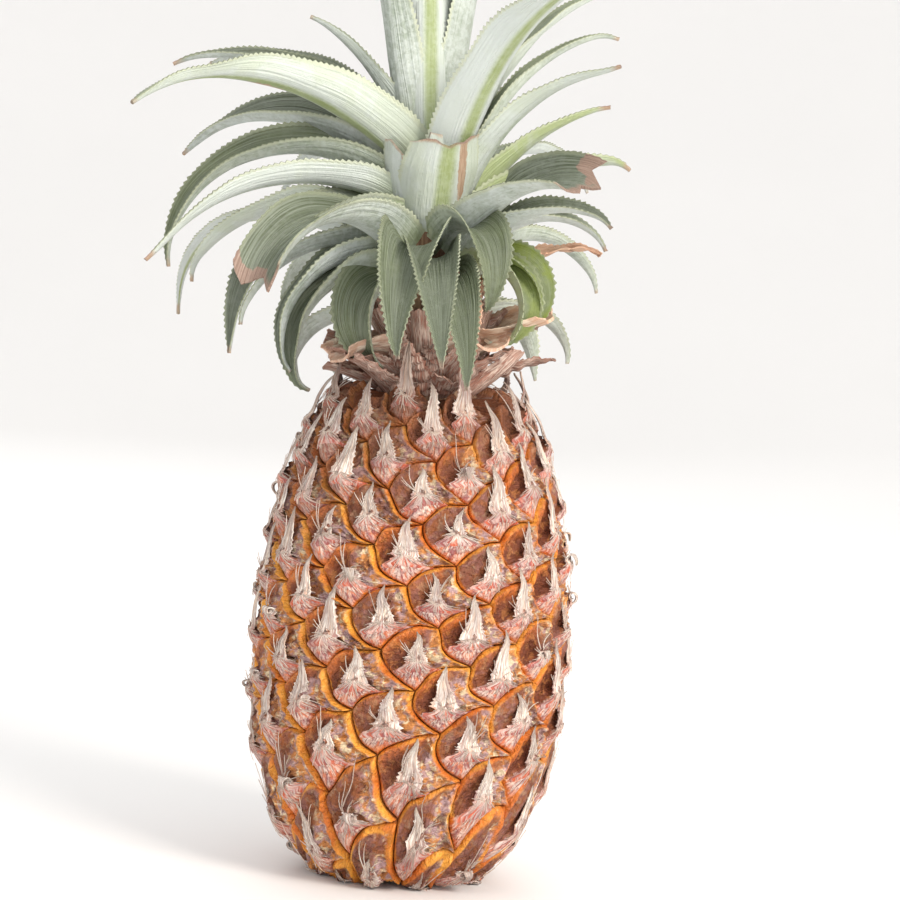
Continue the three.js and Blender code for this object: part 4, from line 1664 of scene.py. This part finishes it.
@dataclass
class StalkWork:
    """The cut end of the stalk under the fruit."""

    radius: float = 12.5
    length: float = 14
    worn: float = 0.6
    sides: int = 64

    def build(self, finish: Material) -> None:
        """Models the stalk.

        Args:
            finish: Its material.
        """
        stalk = cylinder("stalk_end", self.sides, self.radius, 0, self.length)
        stalk.data.materials.append(finish)
        bevel = stalk.modifiers.new("worn_edge", "BEVEL")
        bevel.width = self.worn * MM
        bevel.segments = 3
        bevel.limit_method = "ANGLE"
        bpy.ops.object.modifier_apply(modifier=bevel.name)
        finish_piece(stalk, ["cut_stalk"], smooth_angle=40)


# ---------------------------------------------------------------- studio


@dataclass(frozen=True)
class Studio:
    """The camera, lights and floor."""

    aim: tuple[float, float, float] = (0, 0, 0.1545)
    distance: float = 0.9
    elevation: float = math.radians(2)
    roll: float = math.radians(4)
    metres_a_pixel: float = 0.351e-3
    image_size: int = 900
    aim_pixel: tuple[float, float] = (424.5, 437)
    sensor: float = 36
    floor_flat: float = 1.1
    curve: float = 1.9
    curve_steps: int = 14
    sides: int = 128
    sky: float = 1.0

    def camera(self) -> None:
        """Makes the camera, level with the fruit and rolled a little."""
        data = bpy.data.cameras.new("camera")
        data.sensor_fit = "HORIZONTAL"
        data.sensor_width = self.sensor
        data.lens = self.sensor * self.distance / (self.image_size * self.metres_a_pixel)
        data.shift_x = (self.image_size / 2 - self.aim_pixel[0]) / self.image_size
        data.shift_y = (self.aim_pixel[1] - self.image_size / 2) / self.image_size
        back = Vector((0, -math.cos(self.elevation), math.sin(self.elevation)))
        camera = bpy.data.objects.new("camera", data)
        camera.rotation_mode = "QUATERNION"
        camera.location = Vector(self.aim) + back * self.distance
        camera.rotation_quaternion = (-back).to_track_quat("-Z", "Y") @ Quaternion((0, 0, 1), self.roll)
        bpy.context.scene.collection.objects.link(camera)
        bpy.context.scene.camera = camera

    def light(
        self, name: str, place: tuple[float, float, float], size: float, power: float, tint: str
    ) -> None:
        """Adds a square soft light that faces the fruit.

        Args:
            name: The light's name.
            place: Where it stands, in metres.
            size: Its side, in metres.
            power: Its power, in watts.
            tint: Its colour.
        """
        data = bpy.data.lights.new(name, "AREA")
        data.shape = "SQUARE"
        data.size = size
        data.energy = power
        data.color = colour(tint)[:3]
        lamp = bpy.data.objects.new(name, data)
        lamp.rotation_mode = "QUATERNION"
        lamp.location = place
        lamp.rotation_quaternion = (Vector(self.aim) - Vector(place)).to_track_quat("-Z", "Y")
        bpy.context.scene.collection.objects.link(lamp)

    def floor(self) -> None:
        """Lays the pale floor, which curves up all round like a photographer's paper."""
        deselect()
        bends = np.linspace(0, math.pi / 2, self.curve_steps + 1)
        rings = [(self.floor_flat + self.curve * math.sin(b), self.curve * (1 - math.cos(b))) for b in bends]
        bpy.ops.mesh.primitive_circle_add(vertices=self.sides, radius=self.floor_flat, fill_type="TRIFAN")
        floor = bpy.context.object
        floor.name = "floor"
        bpy.ops.object.mode_set(mode="EDIT")
        bpy.ops.mesh.select_mode(type="EDGE")
        bpy.ops.mesh.select_all(action="DESELECT")
        bpy.ops.mesh.select_non_manifold()
        for (inner, low), (outer, high) in zip(rings, rings[1:]):
            bpy.ops.mesh.extrude_region_move(TRANSFORM_OT_translate={"value": (0, 0, high - low)})
            bpy.ops.transform.resize(value=(outer / inner, outer / inner, 1))
        bpy.ops.object.mode_set(mode="OBJECT")
        bpy.ops.object.shade_smooth()
        paper = Surface("floor")
        tint = paper.mix(paper.noise(paper.place, 3, 2), "#f0efee", "#ecebea")
        floor.data.materials.append(paper.finish(tint, 0.9, 0.1))

    def build(self) -> None:
        """Sets up the whole studio."""
        self.camera()
        self.floor()
        self.light("key", (0.85, -1.05, 0.95), size=0.5, power=20, tint="#fff8ee")
        self.light("front", (0.2, -1.45, 0.3), size=0.8, power=5, tint="#fbfaff")
        self.light("back", (-0.2, 1.25, 0.8), size=0.9, power=4, tint="#ffffff")
        world = bpy.data.worlds.new("studio")
        world.use_nodes = True
        backdrop = world.node_tree.nodes["Background"]
        backdrop.inputs["Color"].default_value = colour("#ffffff")
        backdrop.inputs["Strength"].default_value = self.sky
        bpy.context.scene.world = world
        bpy.context.scene.view_settings.view_transform = "Standard"


# ---------------------------------------------------------------- the whole pineapple


def main() -> None:
    """Builds the studio and every piece, in order."""
    logging.basicConfig(level=logging.INFO, format="%(name)s %(message)s")
    Studio().build()
    effects = make_effects()
    form = FruitForm()
    crown = Crown()

    bract_paper = PaperFinish(
        "bract_paper", ground="#e8cdb6", streak="#7d5360", fibre="#fffaf0", end="#e8d6c2", lines=7,
        foot="#d4643e",
    )
    scale_paper = PaperFinish(
        "scale_paper", ground="#bd8c7a", streak="#70483a", fibre="#f6e2d2", end="#c79f8e", lines=8,
        brown="#6a4030", brown_share=0.5,
    )
    neck_paper = PaperFinish(
        "neck_paper", ground="#e0b5a2", streak="#a5776a", fibre="#f9ecdc", end="#c79a86", lines=8,
        brown="#b9a06a", brown_share=0.3,
    )
    fibre_paper = PaperFinish(
        "fibre_paper", ground="#eed9c6", streak="#c09884", fibre="#fffaf2", end="#e6cfba", lines=1,
        brown_share=0.35,
    )
    bark = PaperFinish(
        "stem_bark", ground="#80604a", streak="#57402f", fibre="#a58a6c", end="#6a5a45", lines=30
    )
    upper = LeafFinish(
        "leaf_upper", green="#57604a", deep="#3d4434", line="#a0a79a", bloom="#8f968d", margin="#8f957c",
        dry="#846c5e", dry_pale="#b59c8e", fresh="#85933e", line_share=0.5, bloom_share=-0.05, vein_lines=30,
    )
    under = LeafFinish(
        "leaf_under", green="#8d9986", deep="#68745f", line="#c3cbc0", bloom="#d0d7d4", margin="#c3c8ac",
        dry="#ab8d76", dry_pale="#d8c0a6", fresh="#9fae58", line_share=0.5, bloom_share=0.4,
    )
    withered = LeafFinish(
        "leaf_withered", green="#c08a70", deep="#8a5d48", line="#e6cdb4", bloom="#dcb9a0", margin="#e6cdb4",
        dry="#c08f74", dry_pale="#ecd0b4", fresh="#b98062", line_share=0.6, bloom_share=0.1,
    )

    Rind(form).build(RindFinish().build(effects))
    Bracts(form).build(bract_paper.build(effects))
    Fibres(form).build(fibre_paper.build(effects))
    StalkWork().build(StalkFinish().build(effects))
    StemWork(crown).build(bark.build(effects), scale_paper.build(effects))

    work = LeafWork(crown)
    living = [upper.build(effects), under.build(effects)]
    dead = withered.build(effects)
    neck = neck_paper.build(effects)
    for i, leaf in enumerate(NECK_BRACTS):
        work.build(f"neck_leaf_{i + 1}", leaf, [neck, neck], "dry_leaf", work.neck_seed + i)
    for i, leaf in enumerate(CROWN_LEAVES):
        name = f"crown_leaf_{i + 1:02d}"
        if leaf.ending is Ending.WITHERED:
            work.build(name, leaf, [dead, dead], "dry_leaf", work.leaf_seed + i)
        else:
            work.build(name, leaf, living, "leaf", work.leaf_seed + i)


if __name__ == "__main__":
    main()
